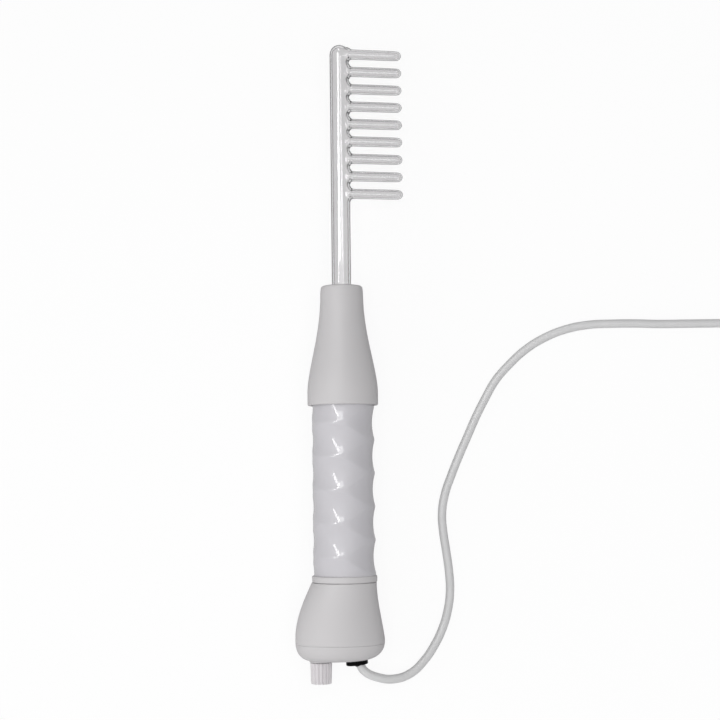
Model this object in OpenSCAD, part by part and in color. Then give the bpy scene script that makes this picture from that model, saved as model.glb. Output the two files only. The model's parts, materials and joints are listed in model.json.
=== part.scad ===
// Hand-held high-frequency wand with a glass comb electrode, lying on its side.
// Sizes are in millimetres. The wand's axis runs along +Y, with the glass comb at the +Y end.
// Pieces on the wand are drawn about their own axis, upright, and laid down by laid().

/* [Electrode] */
// Diameter of the glass stem
stem_d = 11.2; // [10:0.1:12.4]
// Wall of the glass stem
glass_wall = 1.1; // [0.8:0.1:1.5]
// Length of glass that stands out of the nose
glass_out = 143.8; // [125:0.1:170]
// Depth of the electrode's foot below the mouth of the nose
seat_depth = 35.7; // [30:0.1:40]
// Number of tines on the comb
tine_count = 9; // [5:1:10]
// Spacing of the tines
tine_pitch = 10.45; // [9.8:0.05:11.4]
// Diameter of a tine
tine_d = 5.8; // [4.8:0.1:6]
// Wall of a tine
tine_wall = 0.8; // [0.6:0.1:1.2]
// Reach of a tine from the axis of the stem
tine_reach = 37.3; // [28:0.1:44]
// Distance from the top of the glass to the first tine
tine_drop = 5.25; // [5:0.05:9]
// How far a tine's root widens into the stem, on the radius
root_flare = 1.3; // [0.6:0.1:1.6]
// Turn of the comb about the stem, tips towards the table
comb_turn = 10; // [0:1:20]

/* [Nose] */
// Length of the nose
nose_len = 69.7; // [64:0.1:78]
// Diameter across the neck of the nose
neck_d = 25; // [23:0.1:28]
// Diameter of the skirt at the grip
skirt_d = 41; // [39:0.1:46]
// Straight length of the skirt
skirt_len = 8; // [6:0.1:10]
// Length of the parallel neck at the mouth
neck_len = 4; // [3:0.1:8]
// How late the nose narrows: below 1 sooner, above 1 later
nose_flare = 0.8; // [0.7:0.05:1.2]

/* [Socket] */
// Wall of the tube that guides the electrode
socket_wall = 2; // [1.5:0.1:2.6]
// Length of the ring that grips the glass
grip_ring_len = 3.6; // [2.5:0.1:5]
// Length of the metal ferrule on the glass
ferrule_len = 20; // [14:0.1:24]
// Wall of the ferrule
ferrule_wall = 0.6; // [0.4:0.1:0.8]

/* [Grip] */
// Length of the grip that shows
grip_len = 97.8; // [80:0.1:120]
// Diameter of the grip over its crests
grip_d = 36.2; // [35:0.1:37.4]
// Bore of the grip
grip_bore_d = 28.6; // [27.6:0.1:29]
// Columns of finger grooves round the grip
finger_columns = 3; // [2:1:4]
// Depth of a groove in the middle
finger_depth = 1.3; // [0.9:0.1:1.6]
// Radius of a groove along the grip
finger_bow_r = 33; // [26:0.5:42]
// Distance from the grip's axis to the axis that a groove is turned about
finger_shift = 1.8; // [1.4:0.1:2.4]
// Spacing of the grooves along the grip
finger_pitch = 19.2; // [16:0.1:24]
// Direction of the first column, 0 upwards and 90 to the comb's side
finger_turn = 85; // [0:1:120]

/* [Base] */
// Length of the base, without its collar
base_len = 44.3; // [42:0.1:54]
// Height of the base's widest point
base_wide_at = 12; // [11:0.1:15]
// Height of the seam between the housing and its end cap
seam_at = 9.4; // [8.6:0.1:10.6]
// Reach of the base to the knob's side at its widest
base_left = 28.7; // [27:0.1:33]
// Reach of the base to the cord's side at its widest
base_right = 22.75; // [21:0.1:27]
// Half the depth of the base at its widest
base_half_depth = 20.5; // [19.5:0.1:24]
// Radius of the base where it meets the collar
base_top_r = 18.7; // [18.4:0.1:20]
// Reach of the flat foot to the knob's side
foot_left = 18.1; // [15:0.1:19]
// Reach of the flat foot to the cord's side
foot_right = 6.3; // [3:0.1:8]
// Half the depth of the flat foot
foot_half_depth = 9; // [7:0.1:12]
// Wall of the base
base_wall = 2; // [1.6:0.1:2.3]
// Thickness of the end cap's floor
cap_floor = 3.2; // [2.9:0.1:4]
// Height of the collar between the base and the grip
collar_len = 3.5; // [2.5:0.1:6]
// Diameter of the collar
collar_d = 37.5; // [37:0.1:40]

/* [Knob] */
// Diameter of the knob at its root
knob_d = 12.5; // [11:0.1:13.5]
// Diameter of the knob at its end
knob_end_d = 11.8; // [10.4:0.1:12.6]
// Length of the knob
knob_len = 11.8; // [9:0.1:16]
// Flutes round the knob
knob_flutes = 16; // [12:1:20]
// Distance of the knob's axis from the wand's axis
knob_offset = 14; // [13:0.1:15]
// Diameter of the knob's shaft
knob_shaft_d = 6; // [5.6:0.1:6.4]
// Diameter of the bush's flange
bush_flange_d = 13.5; // [12.5:0.1:14]
// Diameter of the adjusting screw
screw_d = 4; // [3:0.1:4.2]

/* [Interrupter] */
// Height of the reed above the foot of the base
reed_at = 15.2; // [14.8:0.1:16]
// Thickness of the reed
reed_t = 0.4; // [0.3:0.05:0.6]
// Width of the reed
reed_w = 6; // [4.5:0.1:7]
// Side of the square iron armature
armature_w = 9; // [7:0.1:10]
// Thickness of the armature
armature_t = 2.8; // [2:0.1:3.2]
// Diameter of the magnet's core
core_d = 7; // [5:0.1:8]
// Diameter of the magnet's bobbin
bobbin_d = 18; // [15:0.1:19]
// Diameter of the capacitor
capacitor_d = 8; // [6:0.1:8.6]

/* [Resonator] */
// Diameter of the resonator's former
former_d = 15; // [12:0.1:17]
// Diameter of the secondary winding
secondary_d = 25; // [20:0.1:27]
// Diameter of the primary winding
primary_d = 27; // [22:0.1:27.2]
// Length of the primary winding
primary_len = 15; // [8:0.5:24]

/* [Cord] */
// Diameter of the cord
cord_d = 5; // [4.5:0.1:5.4]
// Diameter of the strain relief's flange
relief_d = 12.6; // [11.6:0.1:13]
// Distance of the strain relief from the wand's axis
relief_offset = 6.4; // [6:0.1:7.4]
// Tilt of the strain relief's flange
relief_tilt = 6; // [0:0.5:8]
// Length of the neck that the cord leaves by
relief_neck = 5; // [4:0.1:7]
// Inner radius of the stored coil
coil_inner_r = 23; // [20:0.5:26]
// Gap between neighbouring turns of the coil
coil_gap = 0.45; // [0.42:0.01:0.8]
// Width of the band that ties the coil
tie_w = 8; // [5:0.5:10]

/* [Plug] */
// Diameter of a plug pin
pin_d = 4; // [3.8:0.1:5]
// Length of a plug pin outside the body
pin_len = 19; // [16:0.5:20]
// Distance between the plug pins
pin_spacing = 18.6; // [17:0.1:19]
// Width of the plug's face
plug_w = 35; // [30:0.5:38]
// Thickness of the plug
plug_t = 13.6; // [11:0.1:15]
// Length of the plug's body
plug_len = 36; // [30:0.5:44]

/* [Hidden] */
$fn = 64;

// Clearances: seat between fixed pieces, run round shafts, slack round loose pieces
seat = 0.05;
run = 0.05;
slack = 0.35;
eps = 0.01;

// Stations along the wand's axis, from the foot of the base
groove = 0.4;
collar_from = base_len + groove;
grip_from = collar_from + collar_len;
nose_from = grip_from + grip_len;
nose_to = nose_from + nose_len;
glass_to = nose_to + glass_out;
glass_from = nose_to - seat_depth;

// Placing of the wand: the middle of its box over the origin, its belly on the table
knob_stand_off = 1.2;
tine_r = tine_d / 2;
x_low = -base_left;
x_high = max(base_right, (tine_reach - tine_r) * cos(comb_turn) + tine_r);
s_low = -knob_stand_off - knob_len;
axis_x = -(x_low + x_high) / 2;
axis_y = -(s_low + glass_to) / 2;
axis_z = max(skirt_d / 2, base_half_depth);

// Points on an arc, from one angle to another
function arc(centre, r, from, to, steps) = [
    for (i = [0 : steps])
        let (a = from + (to - from) * i / steps)
            centre + r * [cos(a), sin(a)]
];

// Smooth rise from 0 to 1
function ease(u) = (1 - cos(180 * u)) / 2;

// Lays a piece drawn upright about the wand's axis down on the table
module laid() {
    translate([axis_x, axis_y, axis_z])
        rotate([-90, 0, 0])
            children();
}

// Ring of revolution with straight walls
module ring(r_out, r_in, from, to) {
    translate([0, 0, from])
        difference() {
            cylinder(r = r_out, h = to - from);
            translate([0, 0, -eps])
                cylinder(r = r_in, h = to - from + 2 * eps);
        }
}

// Plain rod along the axis
module rod(r, from, to) {
    translate([0, 0, from])
        cylinder(r = r, h = to - from);
}

// Faces of a wall over rings of points, open at both ends
function wall_faces(rings, sides) = concat(
    [for (i = [0 : rings - 2], k = [0 : sides - 1])
        [i * sides + k, i * sides + (k + 1) % sides, (i + 1) * sides + (k + 1) % sides]],
    [for (i = [0 : rings - 2], k = [0 : sides - 1])
        [i * sides + k, (i + 1) * sides + (k + 1) % sides, (i + 1) * sides + k]]
);

// The same wall, closed by a fan at both ends
function skin_faces(rings, sides) = concat(
    [for (k = [1 : sides - 2]) [0, k + 1, k]],
    wall_faces(rings, sides),
    [for (k = [1 : sides - 2]) let (o = (rings - 1) * sides) [o, o + k, o + k + 1]]
);

// Rings of points round a path that never runs along the lead direction
function unit(v) = v / norm(v);
function heading(path, i) = unit(path[min(i + 1, len(path) - 1)] - path[max(i - 1, 0)]);
function tube_points(path, r, sides, lead) = [
    for (i = [0 : len(path) - 1])
        let (along = heading(path, i), side = unit(cross(along, lead)), up = cross(side, along))
            for (k = [0 : sides - 1])
                path[i] + r * (cos(360 * k / sides) * side + sin(360 * k / sides) * up)
];

module tube(path, r, sides, lead = [0, 0, 1]) {
    polyhedron(points = tube_points(path, r, sides, lead), faces = skin_faces(len(path), sides));
}

function path_length(path) = len(path) < 2 ? 0 : [for (i = [1 : len(path) - 1]) norm(path[i] - path[i - 1])]
    * [for (i = [1 : len(path) - 1]) 1];

// Glass electrode

stem_r = stem_d / 2;
ferrule_r = stem_r - 0.1;
glass_foot_r = ferrule_r - ferrule_wall - seat;
glass_foot = glass_from + ferrule_wall + seat;
glass_sealed = 2;
wire_d = 1;
wire_len = 26;
first_tine = glass_to - tine_drop;
root_len = 3;

module electrode_glass() {
    color("aliceblue", 0.5)
        laid()
            rotate([0, 0, comb_turn])
                difference() {
                    union() {
                        glass_stem();
                        each_tine() tine(tine_r, root_flare);
                    }
                    stem_bore();
                    each_tine() tine(tine_r - tine_wall, 0);
                    rod(wire_d / 2 + seat, glass_foot - eps, glass_foot + glass_sealed + 2 * eps);
                }
}

module each_tine() {
    for (i = [0 : tine_count - 1])
        translate([0, 0, first_tine - i * tine_pitch])
            children();
}

module glass_stem() {
    shoulder = glass_from + ferrule_len;
    rotate_extrude()
        polygon(concat(
            [[0, glass_foot], [glass_foot_r, glass_foot], [glass_foot_r, shoulder + seat],
                [stem_r, shoulder + seat + stem_r - glass_foot_r]],
            arc([0, glass_to - stem_r], stem_r, 0, 90, 8)
        ));
}

module stem_bore() {
    bore_r = stem_r - glass_wall;
    foot_bore_r = glass_foot_r - glass_wall;
    shoulder = glass_from + ferrule_len + stem_r;
    rotate_extrude()
        polygon(concat(
            [[0, glass_foot + glass_sealed], [foot_bore_r, glass_foot + glass_sealed],
                [foot_bore_r, shoulder], [bore_r, shoulder + bore_r - foot_bore_r]],
            arc([0, glass_to - stem_r], bore_r, 0, 90, 8)
        ));
}

// A closed finger of glass along +X, widened by flare where it leaves the stem
module tine(r, flare) {
    rotate([0, 90, 0])
        rotate_extrude()
            polygon(concat(
                [[0, 0], [r + flare, 0], [r + flare, stem_r * 0.75], [r, stem_r + root_len]],
                arc([0, tine_reach - tine_r], r, 0, 90, 6)
            ));
}

module electrode_ferrule() {
    color("silver")
        laid()
            rotate_extrude()
                polygon([
                    [0, glass_from], [ferrule_r, glass_from], [ferrule_r, glass_from + ferrule_len],
                    [ferrule_r - ferrule_wall, glass_from + ferrule_len],
                    [ferrule_r - ferrule_wall, glass_from + ferrule_wall], [0, glass_from + ferrule_wall]
                ]);
}

module lead_in_wire() {
    color("dimgray")
        laid()
            rod(wire_d / 2, glass_foot, glass_foot + wire_len);
}

// Nose and socket

mouth_wall = 2.8;
mouth_r = stem_r + slack;
socket_r = mouth_r + socket_wall;
socket_bore_r = socket_r + 0.1;
ring_to = nose_to - mouth_wall;
ring_from = ring_to - grip_ring_len;
flange_r = grip_bore_d / 2 - 0.2;
former_seat = glass_from - 10.9;
rebate_r = grip_d / 2 + 0.25;
rebate_len = 4.4;
front_spigot_len = 8;
spigot_step = 1.2;
front_spigot_r = grip_d / 2 - finger_depth - spigot_step;
nose_step = nose_from + rebate_len + front_spigot_len - 0.2;

module electrode_grip_ring() {
    color("darkslategray")
        laid()
            ring(socket_bore_r - run, stem_r + run, ring_from + run, ring_to - run);
}

module nose_cone() {
    color("gainsboro")
        laid()
            rotate_extrude($fn = 96)
                polygon(concat(nose_outside(), nose_inside()));
}

// From the rim of the skirt up to the mouth
function nose_outside() =
    let (neck_r = neck_d / 2, skirt_r = skirt_d / 2, edge = min(0.8, (skirt_r - rebate_r) / 2),
        tip_taper = 0.3, tip_round = 1.4, curve_from = nose_from + skirt_len, curve_to = nose_to - neck_len)
        concat(
            arc([skirt_r - edge, nose_from + edge], edge, -90, 0, 4),
            [for (i = [0 : 20])
                let (u = i / 20)
                    [skirt_r - (skirt_r - neck_r) * ease(pow(u, nose_flare)),
                        curve_from + (curve_to - curve_from) * u]],
            arc([neck_r - tip_taper - tip_round, nose_to - tip_round], tip_round, 0, 90, 5)
        );

// From the mouth back down to the rim
function nose_inside() =
    let (cavity_r = flange_r + 0.4, throat = ring_from - 18)
        [
            [mouth_r, nose_to], [mouth_r, ring_to], [socket_bore_r, ring_to], [socket_bore_r, throat],
            [cavity_r, former_seat + 1], [cavity_r, nose_step], [front_spigot_r + 0.1, nose_step],
            [front_spigot_r + 0.1, nose_from + rebate_len], [rebate_r, nose_from + rebate_len],
            [rebate_r, nose_from]
        ];

module socket_tube() {
    color("ivory")
        laid()
            ring(socket_r, mouth_r, former_seat, ring_from);
}

module socket_contact() {
    plunger_r = 3;
    disc_t = 2;
    color("goldenrod")
        laid() {
            rod(mouth_r - seat, former_seat, former_seat + disc_t);
            rod(plunger_r, former_seat + disc_t, glass_from - 0.1);
        }
}

// Grip

grip_sides = 48;
grip_end = nose_from + rebate_len;
rear_spigot_r = front_spigot_r;
neck_bore_len = 5.8;
grip_tail = base_len - neck_bore_len + 0.1;

module grip_sleeve() {
    color("white")
        laid()
            difference() {
                union() {
                    grooved_rod();
                    rod(front_spigot_r, grip_end - 1, grip_end + front_spigot_len - 0.3);
                    rod(rear_spigot_r, grip_tail, grip_from + 1);
                }
                rod(grip_bore_d / 2, grip_tail - 1, grip_end + front_spigot_len + 1);
                chassis_screw_holes();
            }
}

// Nearest distance from a value to a repeating mark
function to_mark(v, mark, pitch) = v - mark - pitch * round((v - mark) / pitch);

// Radius at which a groove, aside by an angle and along by a length, meets a ray from the axis
function finger_groove_r(aside, along) =
    let (rise = finger_bow_r - sqrt(finger_bow_r * finger_bow_r - along * along),
        reach = grip_d / 2 - finger_depth + finger_shift + rise)
        sqrt(reach * reach - pow(finger_shift * sin(aside), 2)) - finger_shift * cos(aside);

// Radius of the grip: columns of grooves, each half a pitch off the one before
function grip_r(a, s) =
    let (middle = grip_from + grip_len / 2, column = 360 / finger_columns)
        min(grip_d / 2, min([for (j = [0 : finger_columns - 1])
            finger_groove_r(a - finger_turn + column * j,
                to_mark(s, middle + (j % 2) * finger_pitch / 2, finger_pitch))]));

// The ends are fans about the axis, clear of the spigots' edges
module grooved_rod() {
    sides = grip_sides;
    rings = round((grip_end - grip_from) / finger_pitch * 8);
    skin = [
        for (i = [0 : rings])
            let (s = grip_from + (grip_end - grip_from) * i / rings)
                for (k = [0 : sides - 1])
                    let (a = finger_turn - 360 * k / sides, r = grip_r(a, s))
                        [r * sin(a), -r * cos(a), s]
    ];
    rear_hub = len(skin);
    front_hub = rear_hub + 1;
    last = rings * sides;
    polyhedron(
        points = concat(skin, [[0, 0, grip_from], [0, 0, grip_end]]),
        faces = concat(
            wall_faces(rings + 1, sides),
            [for (k = [0 : sides - 1]) [rear_hub, (k + 1) % sides, k]],
            [for (k = [0 : sides - 1]) [front_hub, last + k, last + (k + 1) % sides]]
        )
    );
}

// Resonator inside the grip

former_from = base_len + 1.9;
former_flange_t = 2.5;

module resonator_former() {
    bore_r = former_d / 2 - 2;
    color("burlywood")
        laid() {
            ring(former_d / 2, bore_r, former_from + former_flange_t, former_seat - former_flange_t);
            ring(flange_r, bore_r, former_from, former_from + former_flange_t);
            ring(flange_r, bore_r, former_seat - former_flange_t, former_seat);
        }
}

primary_from = former_from + former_flange_t + 1;
winding_gap = 6;

module resonator_primary() {
    color("chocolate")
        laid()
            ring(primary_d / 2, former_d / 2 + seat, primary_from, primary_from + primary_len);
}

module resonator_secondary() {
    color("peru")
        laid()
            ring(secondary_d / 2, former_d / 2 + seat, primary_from + primary_len + winding_gap,
                former_seat - former_flange_t - 2);
}

// Base: a lopsided oval bulb, drawn as rings of points

base_sides = 48;

// Reach of the base to each side and in depth, at a height above its foot
function above(s) = (base_len - s) / (base_len - base_wide_at);
function below(s) = sqrt(max(0, 1 - pow((base_wide_at - s) / base_wide_at, 2)));
function grown(s, foot, wide, top, share) =
    s < base_wide_at ? foot + (wide - foot) * below(s) : top + (wide - top) * share;
function left_reach(s) = grown(s, foot_left, base_left, base_top_r + 0.3, sin(90 * above(s)));
function right_reach(s) =
    grown(s, foot_right, base_right, base_top_r - 0.3, pow(above(s), 2) * (2 - above(s)));
function half_depth(s) =
    grown(s, foot_half_depth, base_half_depth, base_top_r, pow(above(s), 2) * (2 - above(s)));

// One oval ring of the bulb, drawn in by an inset, at a height that may differ from its own
function bulb_ring(s, inset, at) =
    let (l = left_reach(s) - inset, r = right_reach(s) - inset, d = half_depth(s) - inset)
        [for (k = [0 : base_sides - 1])
            let (a = 360 * k / base_sides)
                [(r - l) / 2 + (r + l) / 2 * cos(a), -d * sin(a), at]];

function flat(rings) = [for (points = rings) for (p = points) p];

neck_bore_r = rear_spigot_r + 0.1;
ledge_at = base_len - neck_bore_len;
cap_gap = 0.2;

module base_housing() {
    from = seam_at + cap_gap;
    rings = [for (i = [0 : 11]) let (s = from + (base_len - from) * i / 11) bulb_ring(s, 0, s)];
    color("gainsboro")
        laid()
            difference() {
                polyhedron(points = flat(rings), faces = skin_faces(len(rings), base_sides));
                housing_cavity();
                rod(neck_bore_r, ledge_at - 1, base_len + 1);
            }
}

module housing_cavity() {
    from = seam_at - 1;
    rings = [for (i = [0 : 8]) let (s = from + (ledge_at - from) * i / 8) bulb_ring(s, base_wall, s)];
    polyhedron(points = flat(rings), faces = skin_faces(len(rings), base_sides));
}

// Holding screws of the end cap, both on the underside
cap_screw_spots = [[-9, 11.5], [2, 12]];
cap_screw_d = 2.6;
cap_screw_to = seam_at + 8;
cap_head_d = 4.8;
cap_head_t = 2;
cap_boss_d = 6.6;
cap_head_at = cap_floor + 2.4;

module at_cap_screws() {
    for (spot = cap_screw_spots)
        translate(spot)
            children();
}

module base_end_cap() {
    outer = [for (i = [0 : 7]) let (s = seam_at * (1 - cos(90 * i / 7))) bulb_ring(s, 0, s)];
    inner = [for (i = [0 : 4]) let (s = seam_at + (cap_floor - seam_at) * i / 4) bulb_ring(s, base_wall, s)];
    rings = concat(outer, inner);
    color("gainsboro")
        laid()
            difference() {
                union() {
                    polyhedron(points = flat(rings), faces = skin_faces(len(rings), base_sides));
                    at_cap_screws() rod(cap_boss_d / 2, cap_floor - 0.2, seam_at);
                }
                at_cap_screws() rod(cap_head_d / 2 + 0.2, -1, cap_head_at);
                at_cap_screws() rod(cap_screw_d / 2 + 0.1, cap_head_at - eps, seam_at + 1);
                at_knob() rod(bush_flange_d / 2 + seat, -2, bush_seat);
                at_knob() rod(bush_r + seat, bush_seat - eps, cap_floor + 1);
                at_relief() rotate([0, -relief_tilt, 0]) rod(relief_d / 2 + seat, -4, relief_seat);
                at_relief() rod(relief_stem_r + seat, -1, cap_floor + 1);
            }
}

module cap_screws() {
    color("silver")
        laid()
            at_cap_screws() {
                rod(cap_head_d / 2, cap_head_at - cap_head_t, cap_head_at);
                rod(cap_screw_d / 2, cap_head_at, cap_screw_to);
            }
}

module base_collar() {
    collar_r = collar_d / 2;
    edge = 0.6;
    bore_r = rear_spigot_r + 0.1;
    step_r = collar_r - 1.3;
    color("gainsboro")
        laid()
            rotate_extrude($fn = 96)
                polygon(concat(
                    [[bore_r, base_len], [step_r, base_len], [step_r, collar_from], [collar_r, collar_from]],
                    arc([collar_r - edge, grip_from - edge], edge, 0, 90, 4),
                    [[bore_r, grip_from]]
                ));
}

// Chassis: a plate under the neck, a spigot in the grip and two pillars for the cap's screws

plate_to = ledge_at - 0.1;
plate_t = 3;
plate_from = plate_to - plate_t;
spigot_r = grip_bore_d / 2 - 0.1;
spigot_to = former_from - 0.1;
spigot_wall = 2.2;
chassis_screw_at = grip_tail + 3.2;
chassis_screw_d = 2.2;
pillar_d = 6;

module chassis_frame() {
    plate_r = rear_spigot_r - 0.4;
    tab_w = 9;
    color("saddlebrown")
        laid()
            difference() {
                union() {
                    rod(plate_r, plate_from, plate_to);
                    translate([-capacitor_x - 3, -tab_w / 2, plate_from])
                        cube([capacitor_x, tab_w, plate_t]);
                    ring(spigot_r, spigot_r - spigot_wall, plate_to, spigot_to);
                    at_cap_screws() rod(pillar_d / 2, seam_at + 0.1, plate_from);
                }
                rod(core_d / 2 + seat, plate_from - 1, plate_to + 1);
                at_cap_screws() rod(cap_screw_d / 2 + seat, seam_at, cap_screw_to + 1);
                at_post_screw() rod(post_screw_d / 2 + seat, plate_from - 1, plate_to + 1);
                at_post_screw() rod(post_head_r + seat, post_head_at, spigot_to + 1);
                chassis_screw_holes();
            }
}

// Lies along a radius, from a distance off the axis, on both sides
module at_chassis_screws(from) {
    for (side = [90, 270])
        rotate([0, 0, side])
            translate([from, 0, chassis_screw_at])
                rotate([0, 90, 0])
                    children();
}

module chassis_screw_holes() {
    at_chassis_screws(spigot_r - spigot_wall - 1)
        cylinder(d = chassis_screw_d + 2 * seat, h = 8, $fn = 24);
}

module chassis_screws() {
    color("silver")
        laid()
            at_chassis_screws(spigot_r - spigot_wall)
                cylinder(d = chassis_screw_d, h = rear_spigot_r - spigot_r + spigot_wall, $fn = 24);
}

// Electromagnet under the plate

armature_from = reed_at + reed_t;
armature_gap = 0.6;
core_from = armature_from + armature_t + armature_gap;
core_nut_t = 2.6;
bobbin_from = core_from + 1;
bobbin_flange_t = 1.4;
bobbin_tube_r = core_d / 2 + 1.2;

module magnet_core() {
    color("slategray")
        laid()
            rod(core_d / 2, core_from, plate_to + core_nut_t + 0.6);
}

module core_nut() {
    nut_r = core_d / 2 + 2;
    color("silver")
        laid()
            difference() {
                translate([0, 0, plate_to])
                    cylinder(r = nut_r, h = core_nut_t, $fn = 6);
                rod(core_d / 2 + seat, plate_to - 1, plate_to + core_nut_t + 1);
            }
}

module magnet_bobbin() {
    color("ivory")
        laid()
            difference() {
                union() {
                    rod(bobbin_d / 2, bobbin_from, bobbin_from + bobbin_flange_t);
                    rod(bobbin_tube_r, bobbin_from, plate_from);
                    rod(bobbin_d / 2, plate_from - bobbin_flange_t, plate_from);
                }
                rod(core_d / 2 + seat, bobbin_from - 1, plate_from + 1);
            }
}

module magnet_winding() {
    color("chocolate")
        laid()
            ring(bobbin_d / 2 - 0.5, bobbin_tube_r + seat, bobbin_from + bobbin_flange_t + seat,
                plate_from - bobbin_flange_t - seat);
}

// Vibrating reed, held in a slotted post

post_x = bobbin_d / 2 + 2;
post_t = 3.6;
post_w = 8;
post_foot_t = 7;
post_foot_to = reed_at + 4;
post_from = reed_at - 2;
post_screw_d = 2.6;
reed_slot = 0.2;
reed_root = 4;
reed_tip = knob_offset + 2.5;

module reed_post() {
    color("saddlebrown")
        laid()
            difference() {
                union() {
                    translate([post_x, -post_w / 2, post_from])
                        cube([post_t, post_w, plate_from - post_from]);
                    translate([post_x, -post_w / 2, post_from])
                        cube([post_foot_t, post_w, post_foot_to - post_from]);
                }
                translate([post_x - 1, -reed_w / 2 - reed_slot, reed_at - reed_slot])
                    cube([reed_root + 1 + reed_slot, reed_w + 2 * reed_slot, reed_t + 2 * reed_slot]);
                at_post_screw() rod(post_screw_d / 2 + seat, post_screw_from - 1, plate_from + 1);
            }
}

// The post's screw has its head sunk in the plate
post_head_r = post_screw_d / 2 + 0.8;
post_head_at = plate_to - 1.2;
post_screw_from = plate_from - 8;

module at_post_screw() {
    translate([post_x + post_t / 2, 0, 0])
        children();
}

module post_screw() {
    color("silver")
        laid()
            at_post_screw() {
                rod(post_screw_d / 2, post_screw_from, post_head_at);
                rod(post_head_r, post_head_at, plate_to);
            }
}

module vibrator_reed() {
    color("lightsteelblue")
        laid()
            translate([-reed_tip, -reed_w / 2, reed_at])
                cube([reed_tip + post_x + reed_root, reed_w, reed_t]);
}

module reed_armature() {
    color("dimgray")
        laid()
            translate([-armature_w / 2, -armature_w / 2, armature_from])
                cube([armature_w, armature_w, armature_t]);
}

contact_r = 1.5;
contact_t = 0.5;

module reed_contact() {
    color("silver")
        laid()
            at_knob() rod(contact_r, reed_at - contact_t, reed_at);
}

// Knob, its bush and the screw that it turns

bush_flange_t = 2.4;
bush_seat = 1.6;
bush_r = 4.6;
bush_to = reed_at - 2.8;
shaft_r = knob_shaft_d / 2;
shaft_to = bush_to - 3.8;
bush_nut_t = 2.6;
tang_t = 1.2;
tang_w = 4.4;
tang_from = bush_seat + 3;
screw_r = screw_d / 2;
// The screw draws back towards the knob by this much
screw_travel = 0.6;
screw_from = shaft_to + screw_travel + 0.3;
groove_r = shaft_r - 0.6;
groove_at = shaft_to - 1.2;
groove_h = 1.4;
set_screw_r = 0.6;

module at_knob() {
    translate([-knob_offset, 0, 0])
        children();
}

module knob_bush() {
    color("gainsboro")
        laid()
            at_knob()
                difference() {
                    union() {
                        rod(bush_flange_d / 2, bush_seat - bush_flange_t, bush_seat);
                        rod(bush_r, bush_seat - eps, bush_to);
                    }
                    rod(shaft_r + run, bush_seat - bush_flange_t - 1, screw_from);
                    rod(screw_r + run, shaft_to, bush_to + 1);
                    translate([0, 0, groove_at])
                        rotate([90, 0, 0])
                            cylinder(r = set_screw_r + seat, h = bush_r + 1, $fn = 24);
                }
}

module bush_nut() {
    nut_r = bush_r + 1.6;
    color("silver")
        laid()
            at_knob()
                difference() {
                    translate([0, 0, cap_floor])
                        cylinder(r = nut_r, h = bush_nut_t, $fn = 6);
                    rod(bush_r + seat, cap_floor - 1, cap_floor + bush_nut_t + 1);
                }
}

module bush_set_screw() {
    color("dimgray")
        laid()
            at_knob()
                translate([0, -groove_r - 0.1, groove_at])
                    rotate([90, 0, 0])
                        cylinder(r = set_screw_r, h = bush_r - groove_r - 0.1, $fn = 24);
}

module intensity_knob() {
    root_r = knob_d / 2;
    end_r = knob_end_d / 2;
    edge = 0.5;
    flute_r = 0.75;
    lean = atan((root_r - end_r) / knob_len);
    from = -knob_stand_off;
    color("whitesmoke")
        laid()
            at_knob()
                difference() {
                    union() {
                        rotate_extrude()
                            polygon(concat(
                                [[0, from], [root_r, from]],
                                arc([end_r - edge, from - knob_len + edge], edge, 0, -90, 4),
                                [[0, from - knob_len]]
                            ));
                        rod(shaft_r, from - eps, shaft_to);
                    }
                    for (i = [0 : knob_flutes - 1])
                        rotate([0, 0, 360 * (i + 0.5) / knob_flutes])
                            translate([root_r + 0.3, 0, from])
                                rotate([0, 180 + lean, 0])
                                    translate([0, 0, 1.4])
                                        cylinder(r = flute_r, h = knob_len + 2, $fn = 24);
                    ring(shaft_r + 1, groove_r, groove_at - groove_h / 2, groove_at + groove_h / 2);
                    translate([-tang_t / 2 - 0.1, -shaft_r - 1, tang_from - screw_travel - 0.2])
                        cube([tang_t + 0.2, 2 * shaft_r + 2, shaft_to]);
                }
}

module adjusting_screw() {
    tip_r = 1;
    tip_from = bush_to + 1;
    color("goldenrod")
        laid()
            at_knob() {
                translate([-tang_t / 2, -tang_w / 2, tang_from])
                    cube([tang_t, tang_w, screw_from - tang_from]);
                rod(screw_r, screw_from, tip_from);
                translate([0, 0, tip_from])
                    cylinder(r1 = screw_r, r2 = tip_r, h = reed_at - contact_t - 0.1 - tip_from);
            }
}

// Capacitor, terminals and wiring

capacitor_x = bobbin_d / 2 + 1 + capacitor_d / 2;
capacitor_len = 14;

module capacitor() {
    color("gold")
        laid()
            translate([-capacitor_x, 0, 0])
                rod(capacitor_d / 2, plate_from - capacitor_len, plate_from);
}

terminal_x = 0;
terminal_y = -10.6;
terminal_l = 8;
terminal_w = 5;
terminal_h = 6.4;
terminal_screw_r = 1.2;

module terminal_block() {
    color("white")
        laid()
            difference() {
                translate([terminal_x, terminal_y, cap_floor])
                    cube([terminal_l, terminal_w, terminal_h]);
                at_terminals()
                    rod(terminal_screw_r + seat, cap_floor + terminal_h - 3, cap_floor + terminal_h + 1);
            }
}

module at_terminals() {
    for (i = [0, 1])
        translate([terminal_x + terminal_l * (0.25 + 0.5 * i), terminal_y + terminal_w / 2, 0])
            children();
}

module terminal_screws() {
    color("silver")
        laid()
            at_terminals() rod(terminal_screw_r, cap_floor + terminal_h - 2.9, cap_floor + terminal_h);
}

// Two wires from the strain relief to the terminals
wire_r = 0.6;
wire_bend = 1.6;

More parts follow.
